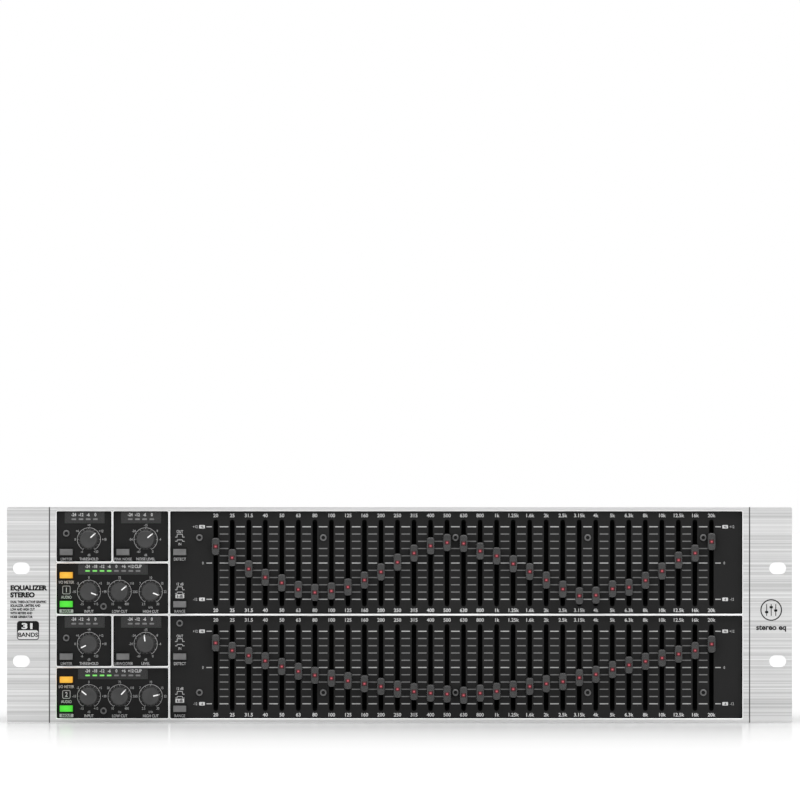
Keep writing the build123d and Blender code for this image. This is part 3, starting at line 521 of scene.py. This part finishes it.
class Marks:
    """Gathers thin slabs of one material, which become one piece that rides on one body."""

    def __init__(self, name, material, slot, body="chassis"):
        self.name = name
        self.material = material
        self.slot = slot
        self.body = body
        self.points = []
        self.faces = []

    def add(self, points, faces):
        start = len(self.points)
        self.points += points
        self.faces += [tuple(start + corner for corner in face) for face in faces]

    def band(self, inner, outer, y, closed=False, rise=INK):
        """A slab between two lines of (x, z) points, from y to rise in front of it."""
        count = len(inner)
        rows = []
        for depth in (y, y - rise):
            rows.append([(x, depth, z) for x, z in inner])
            rows.append([(x, depth, z) for x, z in outer])
        points = [point for row in rows for point in row]
        back_in, back_out, front_in, front_out = (range(part * count, (part + 1) * count)
                                                  for part in range(4))
        faces = []
        for here in range(count if closed else count - 1):
            after = (here + 1) % count
            faces.append((front_in[here], front_in[after], front_out[after], front_out[here]))
            faces.append((back_in[here], back_out[here], back_out[after], back_in[after]))
            faces.append((back_in[here], back_in[after], front_in[after], front_in[here]))
            faces.append((back_out[here], front_out[here], front_out[after], back_out[after]))
        if not closed:
            for end in (0, count - 1):
                faces.append((back_in[end], front_in[end], front_out[end], back_out[end]))
        self.add(points, faces)

    def bar(self, x, z, width, height, y):
        """A rectangle centred at x and z."""
        left, right = x - width / 2, x + width / 2
        self.band([(left, z - height / 2), (right, z - height / 2)],
                  [(left, z + height / 2), (right, z + height / 2)], y)

    def line(self, start, end, width, y, rise=INK):
        """A straight stroke between two (x, z) points."""
        along = Vector((end[0] - start[0], end[1] - start[1])).normalized()
        side = Vector((-along.y, along.x)) * width / 2
        self.band([(start[0] - side.x, start[1] - side.y), (end[0] - side.x, end[1] - side.y)],
                  [(start[0] + side.x, start[1] + side.y), (end[0] + side.x, end[1] + side.y)],
                  y, rise=rise)

    def arc(self, x, z, radius, width, start, end, y):
        """Part of a ring, angles in degrees clockwise from the top."""
        steps = max(4, int(abs(end - start) / ARC_STEP))
        closed = abs(end - start) >= 360
        angles = [math.radians(start + (end - start) * step / steps)
                  for step in range(steps if closed else steps + 1)]
        lines = []
        for reach in (radius - width / 2, radius + width / 2):
            lines.append([(x + reach * math.sin(angle), z + reach * math.cos(angle))
                          for angle in angles])
        self.band(lines[0], lines[1], y, closed)

    def filled(self, x, z, width, height, corner, y):
        """A filled rounded rectangle."""
        outline = rounded(x, z, width, height, corner)
        count = len(outline)
        points = [(px, depth, pz) for depth in (y, y - INK) for px, pz in outline]
        faces = [tuple(range(count)), tuple(range(count, 2 * count))]
        for here in range(count):
            after = (here + 1) % count
            faces.append((here, after, count + after, count + here))
        self.add(points, faces)

    def dome(self, x, z, width, height, corner, y, rise):
        """A pillow-shaped lens on a flat back at y."""
        outline = rounded(x, z, width, height, corner)
        count = len(outline)
        points = []
        for level in range(DOME_LEVELS):
            angle = math.radians(DOME_TURN * level / (DOME_LEVELS - 1))
            shrink = math.cos(angle)
            depth = y - rise * math.sin(angle)
            points += [(x + (px - x) * shrink, depth, z + (pz - z) * shrink) for px, pz in outline]
        faces = [tuple(range(count)), tuple(range(len(points) - count, len(points)))]
        for level in range(DOME_LEVELS - 1):
            for here in range(count):
                after = (here + 1) % count
                low, high = level * count, (level + 1) * count
                faces.append((low + here, low + after, high + after, high + here))
        self.add(points, faces)

    def outlined(self, x, z, width, height, corner, stroke, y):
        """The outline of a rounded rectangle."""
        inside_corner = max(corner - stroke, 0.01 * MM)
        inner = rounded(x, z, width - 2 * stroke, height - 2 * stroke, inside_corner)
        self.band(inner, rounded(x, z, width, height, corner), y, closed=True)

    def build(self, smooth=False):
        """Makes the piece. A smooth one keeps its flat back."""
        mesh = bpy.data.meshes.new(self.name)
        mesh.from_pydata(self.points, [], self.faces)
        shape = bmesh.new()
        shape.from_mesh(mesh)
        bmesh.ops.recalc_face_normals(shape, faces=shape.faces)
        shape.to_mesh(mesh)
        shape.free()
        mesh.materials.append(self.material)
        for polygon in mesh.polygons:
            polygon.use_smooth = smooth and polygon.normal.y < 0.99
        piece = bpy.data.objects.new(self.name, mesh)
        bpy.context.scene.collection.objects.link(piece)
        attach(piece, self.body)


def rounded(x, z, width, height, corner):
    """The outline of a rounded rectangle, as (x, z) points."""
    outline = []
    for quarter, (side_x, side_z) in enumerate(((1, 1), (-1, 1), (-1, -1), (1, -1))):
        for step in range(CORNER_STEPS + 1):
            angle = math.radians(90 * quarter + 90 / CORNER_STEPS * step)
            outline.append((x + side_x * (width / 2 - corner) + corner * math.cos(angle),
                            z + side_z * (height / 2 - corner) + corner * math.sin(angle)))
    return outline


TEXT_JOBS = []                                  # lines of text to set: marks, object, placement
FACE_FRONT = Matrix.Rotation(math.radians(90), 4, "X")
FACE_REAR = Matrix.Rotation(math.radians(180), 4, "Z") @ FACE_FRONT
CAP_HEIGHT = 0.682                              # of the built-in font at size 1


def write(marks, text, x, z, height, y, align="CENTER", narrow=0.82, bold=0.0, facing=FACE_FRONT):
    """Queues a line of text, its capitals height tall and centred on z.

    narrow scales its width, and bold thickens its strokes by that part of the font's size.
    """
    curve = bpy.data.curves.new("line", "FONT")
    curve.body = text
    curve.size = 1.0
    curve.resolution_u = 4
    curve.offset = bold
    curve.extrude = INK / 2
    curve.align_x = align
    job = bpy.data.objects.new("line", curve)
    bpy.context.scene.collection.objects.link(job)
    size = height / CAP_HEIGHT
    place = Matrix.Translation((x, y, z)) @ facing
    place = place @ Matrix.Diagonal((size * narrow, size, 1, 1))
    place = place @ Matrix.Translation((0, -CAP_HEIGHT / 2, INK / 2))
    TEXT_JOBS.append((marks, job, place))


def set_type():
    """Turns the queued text into slabs of the marks that it belongs to."""
    bpy.context.view_layer.update()
    graph = bpy.context.evaluated_depsgraph_get()
    for marks, job, place in TEXT_JOBS:
        flat = bpy.data.meshes.new_from_object(job.evaluated_get(graph))
        shape = bmesh.new()
        shape.from_mesh(flat)
        bmesh.ops.remove_doubles(shape, verts=shape.verts, dist=1e-6)
        bmesh.ops.transform(shape, matrix=place, verts=shape.verts)
        shape.verts.index_update()
        marks.add([tuple(vertex.co) for vertex in shape.verts],
                  [tuple(vertex.index for vertex in face.verts) for face in shape.faces])
        shape.free()
        bpy.data.meshes.remove(flat)
    for _, job, _ in TEXT_JOBS:
        bpy.data.objects.remove(job)


# ---------------------------------------------------------------- where the controls are
JOINT = {joint["child"]: joint for joint in frame["joints"]}


def centre(node):
    """The middle of a node's box, as x and z."""
    low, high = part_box(node)
    return (low.x + high.x) / 2, (low.z + high.z) / 2


def knob_place(body):
    """A knob's centre, and its pointer's angle clockwise from the top."""
    place = JOINT[body]["pos_m"]
    low, high = JOINT[body]["range_deg"]
    return place[0], place[2], -(low + high) / 2


def zero_line(body):
    """The height of a fader's 0 dB line, which is the middle of its travel."""
    low, high = JOINT[body]["range_m"]
    return centre(body)[1] + (low + high) / 2


ZERO_Z = {channel: zero_line(f"fader_{channel}_1khz") for channel in (1, 2)}
FIRST_OCTAVE, LAST_OCTAVE = 2, 29               # band numbers of the 31.5 Hz and 16 kHz faders
BAND_COUNT = 31
PITCH = (centre("fader_1_16khz")[0] - centre("fader_1_31hz")[0]) / (LAST_OCTAVE - FIRST_OCTAVE)
FIRST_X = centre("fader_1_31hz")[0] - FIRST_OCTAVE * PITCH
TWELVE_DB = 22.3 * MM                           # from the 0 dB line to the 12 dB lines
BAND_NAMES = ("20 25 31.5 40 50 63 80 100 125 160 200 250 315 400 500 630 800 1k 1.25k 1.6k 2k "
              "2.5k 3.15k 4k 5k 6.3k 8k 10k 12.5k 16k 20k").split()
LEGEND = 1.6 * MM                               # heights of the printed capitals
SMALL = 1.4 * MM
TITLE = 1.7 * MM

white = Marks("legend_white", WHITE_INK, "control_plate")
grey_marks = Marks("legend_grey", GREY_INK, "control_plate")
black_marks = Marks("legend_black", BLACK_INK, "control_plate")
silver = Marks("legend_silver", SILVER_INK, "control_plate")
# The window outlines are painted shade: black slabs where the panel's window walls shade the recessed plate.
edges = Marks("window_painted_shade", TRACK_BLACK, "control_plate")


def panel_screw_columns():
    """Where between the faders a screw takes the place of two ticks: band numbers, halfway."""
    columns = set()
    for _, low, high in solid_boxes("screws"):
        if low.y < PLATE_Y:
            columns.add(round(((low.x + high.x) / 2 - FIRST_X) / PITCH, 1))
    return columns


# ---------------------------------------------------------------- painted shade round the windows
FIELD_HALF = 210.8 * MM                         # the eight windows together, and their bars
FIELD_BOTTOM, FIELD_TOP = 2.6 * MM, 129.9 * MM
FIELD_MIDDLE = 66.25 * MM
ROW_HEIGHT = 32.15 * MM
HALF_BAR = 0.6 * MM
NARROW_BAR_X = -176.5 * MM                      # between the two small windows of a channel
FULL_BAR_X = -141.6 * MM                        # between the knob windows and the fader window
WINDOW_CORNER = 0.8 * MM
SHADE_WIDTH = 0.55 * MM


def window_ranges():
    """The windows of the front panel, as (left, right, bottom, top)."""
    windows = []
    for low, high, split in (
        (FIELD_MIDDLE + HALF_BAR, FIELD_TOP, FIELD_MIDDLE + ROW_HEIGHT),
        (FIELD_BOTTOM, FIELD_MIDDLE - HALF_BAR, FIELD_MIDDLE - ROW_HEIGHT),
    ):
        windows.append((-FIELD_HALF, NARROW_BAR_X - HALF_BAR, split + HALF_BAR, high))
        windows.append((NARROW_BAR_X + HALF_BAR, FULL_BAR_X - HALF_BAR, split + HALF_BAR, high))
        windows.append((-FIELD_HALF, FULL_BAR_X - HALF_BAR, low, split - HALF_BAR))
        windows.append((FULL_BAR_X + HALF_BAR, FIELD_HALF, low, high))
    return windows


# A thin black outline inside each window: painted shade along the panel's edge.
def paint_window_shade():
    for left, right, bottom, top in window_ranges():
        edges.outlined((left + right) / 2, (bottom + top) / 2, right - left, top - bottom,
                       WINDOW_CORNER, SHADE_WIDTH, PLATE_Y)


# ---------------------------------------------------------------- fader scales
TICK_LENGTH = 5.3 * MM
TICK_HEIGHT = 0.62 * MM
STEPS_TO_TWELVE = 5                             # ticks from the 0 dB line to a 12 dB line
SCREW_ROWS = {1: (1, 2), 2: (8, 9)}             # rows where a screw stands in for a tick
END_TICK_X, END_TICK_LENGTH = 4.05 * MM, 3.4 * MM   # outside the first and last faders
ZERO_X = 7.9 * MM
SIX_X = 8.45 * MM
TWELVE_X = 12.6 * MM
SIX_BLOCK = (3.5 * MM, 2.1 * MM, 0.4 * MM)      # width, height and corner
NAMES_ABOVE, NAMES_BELOW = 29.25 * MM, 29.05 * MM   # from the 0 dB line to the bands' names
NAME_HEIGHT = 2.05 * MM


def scale_end(sign, edge, zero):
    """The level marks beside the outermost fader, on the side that sign gives."""
    for level in (-1, 0, 1):
        z = zero + level * TWELVE_DB
        silver.bar(edge + sign * END_TICK_X, z, END_TICK_LENGTH, TICK_HEIGHT, PLATE_Y)
        if level == 0:
            write(silver, "0", edge + sign * ZERO_X, z, LEGEND, PLATE_Y, bold=0.01)
        else:
            mark = "+" if level > 0 else "-"
            white.filled(edge + sign * SIX_X, z, *SIX_BLOCK, PLATE_Y)
            write(black_marks, mark + "6", edge + sign * SIX_X, z, SMALL, PLATE_Y - INK, bold=0.03)
            write(silver, mark + "12", edge + sign * TWELVE_X, z, LEGEND, PLATE_Y, bold=0.01)


def fader_scale(channel, screw_columns):
    """The ticks between a channel's faders, the marks at both ends, and the bands' names."""
    zero = ZERO_Z[channel]
    for row in range(2 * STEPS_TO_TWELVE + 1):
        z = zero + TWELVE_DB - TWELVE_DB / STEPS_TO_TWELVE * row
        ink = silver if row % STEPS_TO_TWELVE == 0 else grey_marks
        for gap in range(BAND_COUNT - 1):
            if gap + 0.5 in screw_columns and row in SCREW_ROWS[channel]:
                continue
            ink.bar(FIRST_X + PITCH * (gap + 0.5), z, TICK_LENGTH, TICK_HEIGHT, PLATE_Y)
    scale_end(-1, FIRST_X, zero)
    scale_end(1, FIRST_X + PITCH * (BAND_COUNT - 1), zero)
    for band, name in enumerate(BAND_NAMES):
        for z in (zero + NAMES_ABOVE, zero - NAMES_BELOW):
            write(white, name, FIRST_X + PITCH * band, z, NAME_HEIGHT, PLATE_Y,
                  narrow=1.02, bold=0.02)


# ---------------------------------------------------------------- knob scales
RING_RADIUS = 7.15 * MM
RING_END = 150                                  # degrees from the top to either end of the ring
RING_STROKE, TICK_STROKE = 0.3 * MM, 0.28 * MM
RING_TICK = 0.75 * MM
NUMBER_HEIGHT = 1.5 * MM
NUMBER_REACH = 8.0 * MM                         # of the numbers at the sides
END_NUMBER_REACH = 8.7 * MM                     # of those at the top and at the ring's ends
UNIT_DROP = 9.6 * MM
TITLE_DROP = 12.1 * MM
SCALES = {
    "knob_threshold_1": ("-6 0 +6 +9 +12 +18 +20", "dB", "THRESHOLD"),
    "knob_noise_level": ("-60 -34 -24 -15 -9 -4 0", "dB", "NOISE LEVEL"),
    "knob_input_1": ("-15 -10 -5 0 +5 +10 +15", "dB", "INPUT"),
    "knob_low_cut_1": ("10 25 50 75 110 220 400", "Hz", "LOW CUT"),
    "knob_high_cut_1": ("2.5 3.5 7 10 15 22 30", "kHz", "HIGH CUT"),
}
SCALES.update({
    "knob_threshold_2": SCALES["knob_threshold_1"],
    "knob_subwoofer_level": (SCALES["knob_noise_level"][0], "dB", "LEVEL"),
    "knob_input_2": SCALES["knob_input_1"],
    "knob_low_cut_2": SCALES["knob_low_cut_1"],
    "knob_high_cut_2": SCALES["knob_high_cut_1"],
})
NUMBER_ANGLES = (-RING_END, -90, -50, 0, 50, 90, RING_END)


def around(x, z, reach, angle):
    """The place at reach from x and z, angle in radians clockwise from the top."""
    return x + reach * math.sin(angle), z + reach * math.cos(angle)


def knob_scale(body):
    """The ring round a knob, its ticks and numbers, and the unit and title under it."""
    x, z, _ = knob_place(body)
    numbers, unit, title = SCALES[body]
    silver.arc(x, z, RING_RADIUS, RING_STROKE, -RING_END, RING_END, PLATE_Y)
    for tick in range(-RING_END, RING_END + 1, 30):
        angle = math.radians(tick)
        silver.line(around(x, z, RING_RADIUS, angle), around(x, z, RING_RADIUS - RING_TICK, angle),
                    TICK_STROKE, PLATE_Y)
    for number, turn in zip(numbers.split(), NUMBER_ANGLES):
        at_side = 0 < abs(turn) < RING_END
        align = "CENTER"
        if at_side:
            align = "LEFT" if turn > 0 else "RIGHT"
        reach = NUMBER_REACH if at_side else END_NUMBER_REACH
        number_x, number_z = around(x, z, reach, math.radians(turn))
        write(silver, number, number_x, number_z, NUMBER_HEIGHT, PLATE_Y, align,
              narrow=0.8, bold=0.008)
    write(silver, unit, x, z - UNIT_DROP, SMALL, PLATE_Y, bold=0.01)
    write(white, title, x, z - TITLE_DROP, TITLE, PLATE_Y, bold=0.008)


POINTER_WIDTH = 0.72 * MM
POINTER_START, POINTER_END = 1.74 * MM, 5.0 * MM    # from the knob's axis, on its tip
POINTER_BED, POINTER_RISE = 0.34 * MM, 0.33 * MM    # its back behind the tip, and its thickness
SKIRT_GAP = 2.1 * MM                            # from the control plate to the pointer's lower end


def knob_pointer(body):
    """The white inlay in a knob's tip, carried over the edge and down its side."""
    x, z, turn = knob_place(body)
    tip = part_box(body)[0].y
    skirt = PLATE_Y - SKIRT_GAP
    angle = math.radians(turn)
    pointer = Marks(body + "_pointer", POINTER_WHITE, "knob_plastic", body)
    pointer.line(around(x, z, POINTER_START, angle), around(x, z, POINTER_END, angle),
                 POINTER_WIDTH, tip + POINTER_BED, rise=POINTER_RISE)
    # The side view of the rest, as distance from the axis in millimetres, and depth.
    profile = ((4.95, tip + 0.06 * MM), (5.27, tip + 0.42 * MM), (5.62, skirt),
               (5.3, skirt), (4.8, tip + 0.7 * MM))
    along = Vector((math.sin(angle), math.cos(angle)))
    across = Vector((math.cos(angle), -math.sin(angle)))
    points = []
    for reach, depth in profile:
        for side in (-POINTER_WIDTH / 2, POINTER_WIDTH / 2):
            spot = along * reach * MM + across * side
            points.append((x + spot.x, depth, z + spot.y))
    count = len(profile)
    faces = [tuple(range(0, 2 * count, 2)), tuple(range(1, 2 * count, 2))]
    for here in range(count):
        after = (here + 1) % count
        faces.append((2 * here, 2 * here + 1, 2 * after + 1, 2 * after))
    pointer.add(points, faces)
    pointer.build()


# ---------------------------------------------------------------- buttons and meters
LABEL_DROP = 4.35 * MM                          # from a button's middle to its label
BLOCK_CORNER = 0.4 * MM
NUMBER_DROP = 9.1 * MM                          # from the meter button to the channel's number
NUMBER_FRAME = (5.0 * MM, 5.2 * MM, 0.9 * MM, 0.4 * MM)     # width, height, corner and stroke
AUDIO_RISE = 4.2 * MM
ICON_STROKE = 0.42 * MM
ICON_HEIGHT = 0.9 * MM                          # from an icon's middle to its base


def switch_icon(x, z, raised):
    """A push button drawn from the side: standing up, or pressed down."""
    base = z - ICON_HEIGHT
    top = z + ICON_HEIGHT if raised else z
    for side in (-1, 1):
        foot_x = x + side * 1.8 * MM
        silver.line((x + side * 2.9 * MM, base), (foot_x, base), ICON_STROKE, PLATE_Y)
        silver.line((foot_x, base - ICON_STROKE / 2), (x + side * 1.5 * MM, top),
                    ICON_STROKE, PLATE_Y)
    silver.line((x - 1.6 * MM, top), (x + 1.6 * MM, top), ICON_STROKE, PLATE_Y)


def button_label(body, text):
    x, z = centre(body)
    write(white, text, x, z - LABEL_DROP, TITLE, PLATE_Y, bold=0.008)


def inverted_label(text, x, z, width, height):
    """Dark letters on a light block."""
    white.filled(x, z, width, height, BLOCK_CORNER, PLATE_Y)
    write(black_marks, text, x, z, height * 0.68, PLATE_Y - INK, bold=0.03)


def button_legends(channel):
    """What is printed round one channel's six buttons."""
    button_label(f"button_limiter_{channel}", "LIMITER")
    if channel == 1:
        button_label("button_pink_noise", "PINK NOISE")
    else:
        button_label("button_subwoofer", "SUBWOOFER")
    button_label(f"button_meter_{channel}", "I/O METER")
    button_label(f"button_detect_{channel}", "DETECT")
    button_label(f"button_range_{channel}", "RANGE")

    x, z = centre(f"button_meter_{channel}")
    silver.outlined(x, z - NUMBER_DROP, *NUMBER_FRAME, PLATE_Y)
    write(white, str(channel), x, z - NUMBER_DROP, 2.8 * MM, PLATE_Y, bold=0.01)
    x, z = centre(f"button_in_out_{channel}")
    write(white, "AUDIO", x, z + AUDIO_RISE, TITLE, PLATE_Y, bold=0.004)
    inverted_label("IN/OUT", x, z - LABEL_DROP, 8.5 * MM, 2.1 * MM)

    # Over the two buttons beside the faders: what each position does, from the top down.
    x, z = centre(f"button_detect_{channel}")
    write(white, "OUT", x, z + 12.6 * MM, LEGEND, PLATE_Y)
    switch_icon(x, z + 10.1 * MM, True)
    switch_icon(x, z + 7.5 * MM, False)
    write(white, "IN", x, z + 4.9 * MM, LEGEND, PLATE_Y)
    x, z = centre(f"button_range_{channel}")
    write(white, "12 dB", x, z + 12.4 * MM, LEGEND, PLATE_Y)
    switch_icon(x, z + 9.8 * MM, True)
    switch_icon(x, z + 7.5 * MM, False)
    inverted_label("6 dB", x, z + 4.9 * MM, 5.4 * MM, 2.4 * MM)


lit_bars = Marks("meter_bars_lit", LED_GREEN, "smoked_lens")
unlit_bars = Marks("meter_bars_unlit", LED_OFF, "smoked_lens")
BAR_PITCH = 4.43 * MM
BAR_SHAPE = (2.9 * MM, 1.05 * MM, 0.4 * MM)     # width, height and corner
BAR_RISE = 0.12 * MM
BAR_DROP, NAME_DROP = 4.2 * MM, 1.4 * MM        # below the meter window's upper edge
WIDE_METER = 35 * MM                            # a meter of eight bars is wider than this


def meter(window, names, lit_count, first_inset):
    """Numbers and light bars on one meter window, given its lowest and highest corners."""
    low, high = window
    for place, name in enumerate(names.split()):
        x = low.x + first_inset + BAR_PITCH * place
        bars = lit_bars if place < lit_count else unlit_bars
        bars.dome(x, high.z - BAR_DROP, *BAR_SHAPE, PLATE_Y, BAR_RISE)
        write(white, name, x, high.z - NAME_DROP, 1.8 * MM, PLATE_Y, narrow=0.85, bold=0.035)


def meters():
    for _, low, high in solid_boxes("meter_windows"):
        if high.x - low.x > WIDE_METER:
            meter((low, high), "-24 -18 -12 -6 0 +6 +12 CLIP", lit_count=4, first_inset=5.8 * MM)
        else:
            meter((low, high), "-24 -12 -6 0", lit_count=0, first_inset=5.6 * MM)


# ---------------------------------------------------------------- fader lights
LENS_SHAPE = (2.94 * MM, 2.64 * MM, 0.9 * MM)   # width, height and corner
LENS_BACK, LENS_RISE = 0.25 * MM, 0.6 * MM      # its back behind the cap's front, and its height


def fader_lights():
    """The lit end of every fader's lever, one piece for each body."""
    places = {name: [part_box(name)] for name in MOVING_FADERS}
    places["chassis"] = [(low, high) for _, low, high in solid_boxes("third_octave_caps")]
    for body, boxes in places.items():
        name = "fader_lights" if body == "chassis" else body + "_light"
        lights = Marks(name, RED_LIT, "fader_cap", body)
        for low, high in boxes:
            x, z = (low.x + high.x) / 2, (low.z + high.z) / 2
            lights.dome(x, z, *LENS_SHAPE, low.y + LENS_BACK, LENS_RISE)
        lights.build(smooth=True)


# ---------------------------------------------------------------- ears
ear_print = Marks("ear_print", BLACK_INK, "brushed_aluminium")
badge_print = Marks("badge_print", WHITE_INK, "brushed_aluminium")
LEFT_LINES = ("DUAL THIRD-OCTAVE GRAPHIC", "EQUALIZER, LIMITERS AND", "LOW AND HIGH CUT",
              "WITH METERS AND", "NOISE GENERATOR")
SLIDERS = ((-2.8, -1.3), (0.0, 1.7), (2.8, -0.3))   # the emblem's, as place and knob height, mm


def left_ear():
    """The unit's name, what it does in small lines, and a badge with its number of bands."""
    edge = PANEL_LOW.x + 2.1 * MM
    for row, line in enumerate(("EQUALIZER", "STEREO")):
        z = (82.8 - 4.3 * row) * MM
        write(ear_print, line, edge, z, 2.75 * MM, PANEL_Y, "LEFT", narrow=1.06, bold=0.06)
    for row, line in enumerate(LEFT_LINES):
        z = (74.2 - 2.3 * row) * MM
        write(ear_print, line, edge, z, 1.4 * MM, PANEL_Y, "LEFT", narrow=0.74, bold=0.055)
    x, z = PANEL_LOW.x + 12.9 * MM, 56.6 * MM
    lower_z = z - 2.6 * MM
    ear_print.filled(x, z, 13.6 * MM, 11.7 * MM, 1.8 * MM, PANEL_Y)
    write(badge_print, "31", x, z + 2.7 * MM, 3.3 * MM, PANEL_Y - INK, narrow=1.7, bold=0.04)
    badge_print.filled(x, lower_z, 12.6 * MM, 5.5 * MM, 1.3 * MM, PANEL_Y - INK)
    write(ear_print, "BANDS", x, lower_z, 2.4 * MM, PANEL_Y - 2 * INK, narrow=1.1, bold=0.03)


def right_ear():
    """A round emblem with three sliders, and two words under it."""
    x, z = PANEL_HIGH.x - 12.8 * MM, 69.2 * MM
    ear_print.arc(x, z, 6.3 * MM, 0.7 * MM, 0, 360, PANEL_Y)
    for place, knob_z in SLIDERS:
        slider_x = x + place * MM
        ear_print.bar(slider_x, z, 0.5 * MM, 7.2 * MM, PANEL_Y)
        ear_print.filled(slider_x, z + knob_z * MM, 2.0 * MM, 1.4 * MM, 0.3 * MM, PANEL_Y)
    write(ear_print, "stereo eq", x, 58.6 * MM, 3.1 * MM, PANEL_Y, narrow=1.05, bold=0.035)


# ---------------------------------------------------------------- rear wall print
rear_print = Marks("rear_print", WHITE_INK, "case_paint")
REAR_TITLES = (                                 # printed midway between a first and a last socket
    ("xlr_sub_out", "jack_sub_out", "SUBWOOFER"),
    ("xlr_2_out", "xlr_2_in", "CHANNEL 2"),
    ("xlr_1_out", "xlr_1_in", "CHANNEL 1"),
)
REAR_LEGEND, REAR_TITLE = 1.9 * MM, 2.6 * MM
ROLE_RISE, TITLE_FALL = 19.5 * MM, 22.0 * MM    # from the sockets' middle
POWER_RISE, FUSE_FALL = 15.0 * MM, 38.0 * MM    # from the rocker's middle
MAINS_FALL = 15.0 * MM                          # from the inlet's middle


def rear_legend(text, x, z):
    write(rear_print, text, x, z, REAR_LEGEND, WALL_Y, facing=FACE_REAR)


def rear_legends():
    sockets = {mount["name"]: mount["pos_m"] for mount in frame["record"]["mounts"]}
    for name, place in sockets.items():
        if name.startswith(("xlr", "jack")):
            role = "OUTPUT" if name.endswith("out") else "INPUT"
            rear_legend(role, place[0], place[2] + ROLE_RISE)
    for first, last, title in REAR_TITLES:
        x = (sockets[first][0] + sockets[last][0]) / 2
        z = sockets[first][2] - TITLE_FALL
        write(rear_print, title, x, z, REAR_TITLE, WALL_Y, facing=FACE_REAR, bold=0.01)
    x, z = centre("power_rocker")
    rear_legend("POWER", x, z + POWER_RISE)
    rear_legend("FUSE", x, z - FUSE_FALL)
    place = sockets["mains_inlet"]
    rear_legend("MAINS", place[0], place[2] - MAINS_FALL)


# ---------------------------------------------------------------- floor
FLOOR_LEVEL = 0.525                             # how light the floor is
FLOOR_HALF = 14.0                               # half its width, past what any view shows
MIRROR_FADE = ((0.0, 0.45), (0.14, 0.42), (0.30, 0.27), (0.55, 0.11), (0.9, 0.0))


def studio_floor():
    """A white floor with a soft mirror in it, which fades with distance from the object.

    Each step of MIRROR_FADE is a distance in metres and how much of the floor is mirror there.
    """
    recipe = Recipe("studio_floor", grey(FLOOR_LEVEL), roughness=0.9)
    recipe.vary_color(recipe.noise((3, 3, 3)), grey(FLOOR_LEVEL), grey(FLOOR_LEVEL + 0.005))
    recipe.set("Specular IOR Level", 0.0)
    gloss = recipe.node("ShaderNodeBsdfGlossy")
    gloss.inputs["Color"].default_value = (1, 1, 1, 1)
    gloss.inputs["Roughness"].default_value = 0.1
    away = recipe.node("ShaderNodeVectorMath", operation="ABSOLUTE")
    recipe.link(recipe.coordinates, away.inputs[0])
    beyond = recipe.node("ShaderNodeVectorMath", operation="SUBTRACT")
    beyond.inputs[1].default_value = (PANEL_HIGH.x, -PANEL_Y, 0)
    recipe.link(away.outputs["Vector"], beyond.inputs[0])
    outside = recipe.node("ShaderNodeVectorMath", operation="MAXIMUM")
    outside.inputs[1].default_value = (0, 0, 0)
    recipe.link(beyond.outputs["Vector"], outside.inputs[0])
    distance = recipe.node("ShaderNodeVectorMath", operation="LENGTH")
    recipe.link(outside.outputs["Vector"], distance.inputs[0])
    stops = [(place, grey(level)) for place, level in MIRROR_FADE]
    fade = recipe.ramp(distance.outputs["Value"], stops)
    mix = recipe.node("ShaderNodeMixShader")
    recipe.link(fade, mix.inputs["Fac"])
    recipe.link(recipe.shader.outputs["BSDF"], mix.inputs[1])
    recipe.link(gloss.outputs["BSDF"], mix.inputs[2])
    recipe.link(mix.outputs["Shader"], recipe.tree.nodes["Material Output"].inputs["Surface"])
    return recipe.material


# ---------------------------------------------------------------- everything together
screw_columns = panel_screw_columns()
for channel in (1, 2):
    fader_scale(channel, screw_columns)
    button_legends(channel)
for body in SCALES:
    knob_scale(body)
    knob_pointer(body)
meters()
fader_lights()
left_ear()
right_ear()
rear_legends()
set_type()
paint_window_shade()
for marks in (white, silver, edges, grey_marks, black_marks, ear_print, badge_print, rear_print):
    marks.build()
lit_bars.build(smooth=True)
unlit_bars.build(smooth=True)

floor_mesh = bpy.data.meshes.new("floor")
floor_corners = [(-FLOOR_HALF, -FLOOR_HALF, 0), (FLOOR_HALF, -FLOOR_HALF, 0),
                 (FLOOR_HALF, FLOOR_HALF, 0), (-FLOOR_HALF, FLOOR_HALF, 0)]
floor_mesh.from_pydata(floor_corners, [], [(0, 1, 2, 3)])
floor_mesh.materials.append(studio_floor())
floor = bpy.data.objects.new("floor", floor_mesh)
bpy.context.scene.collection.objects.link(floor)
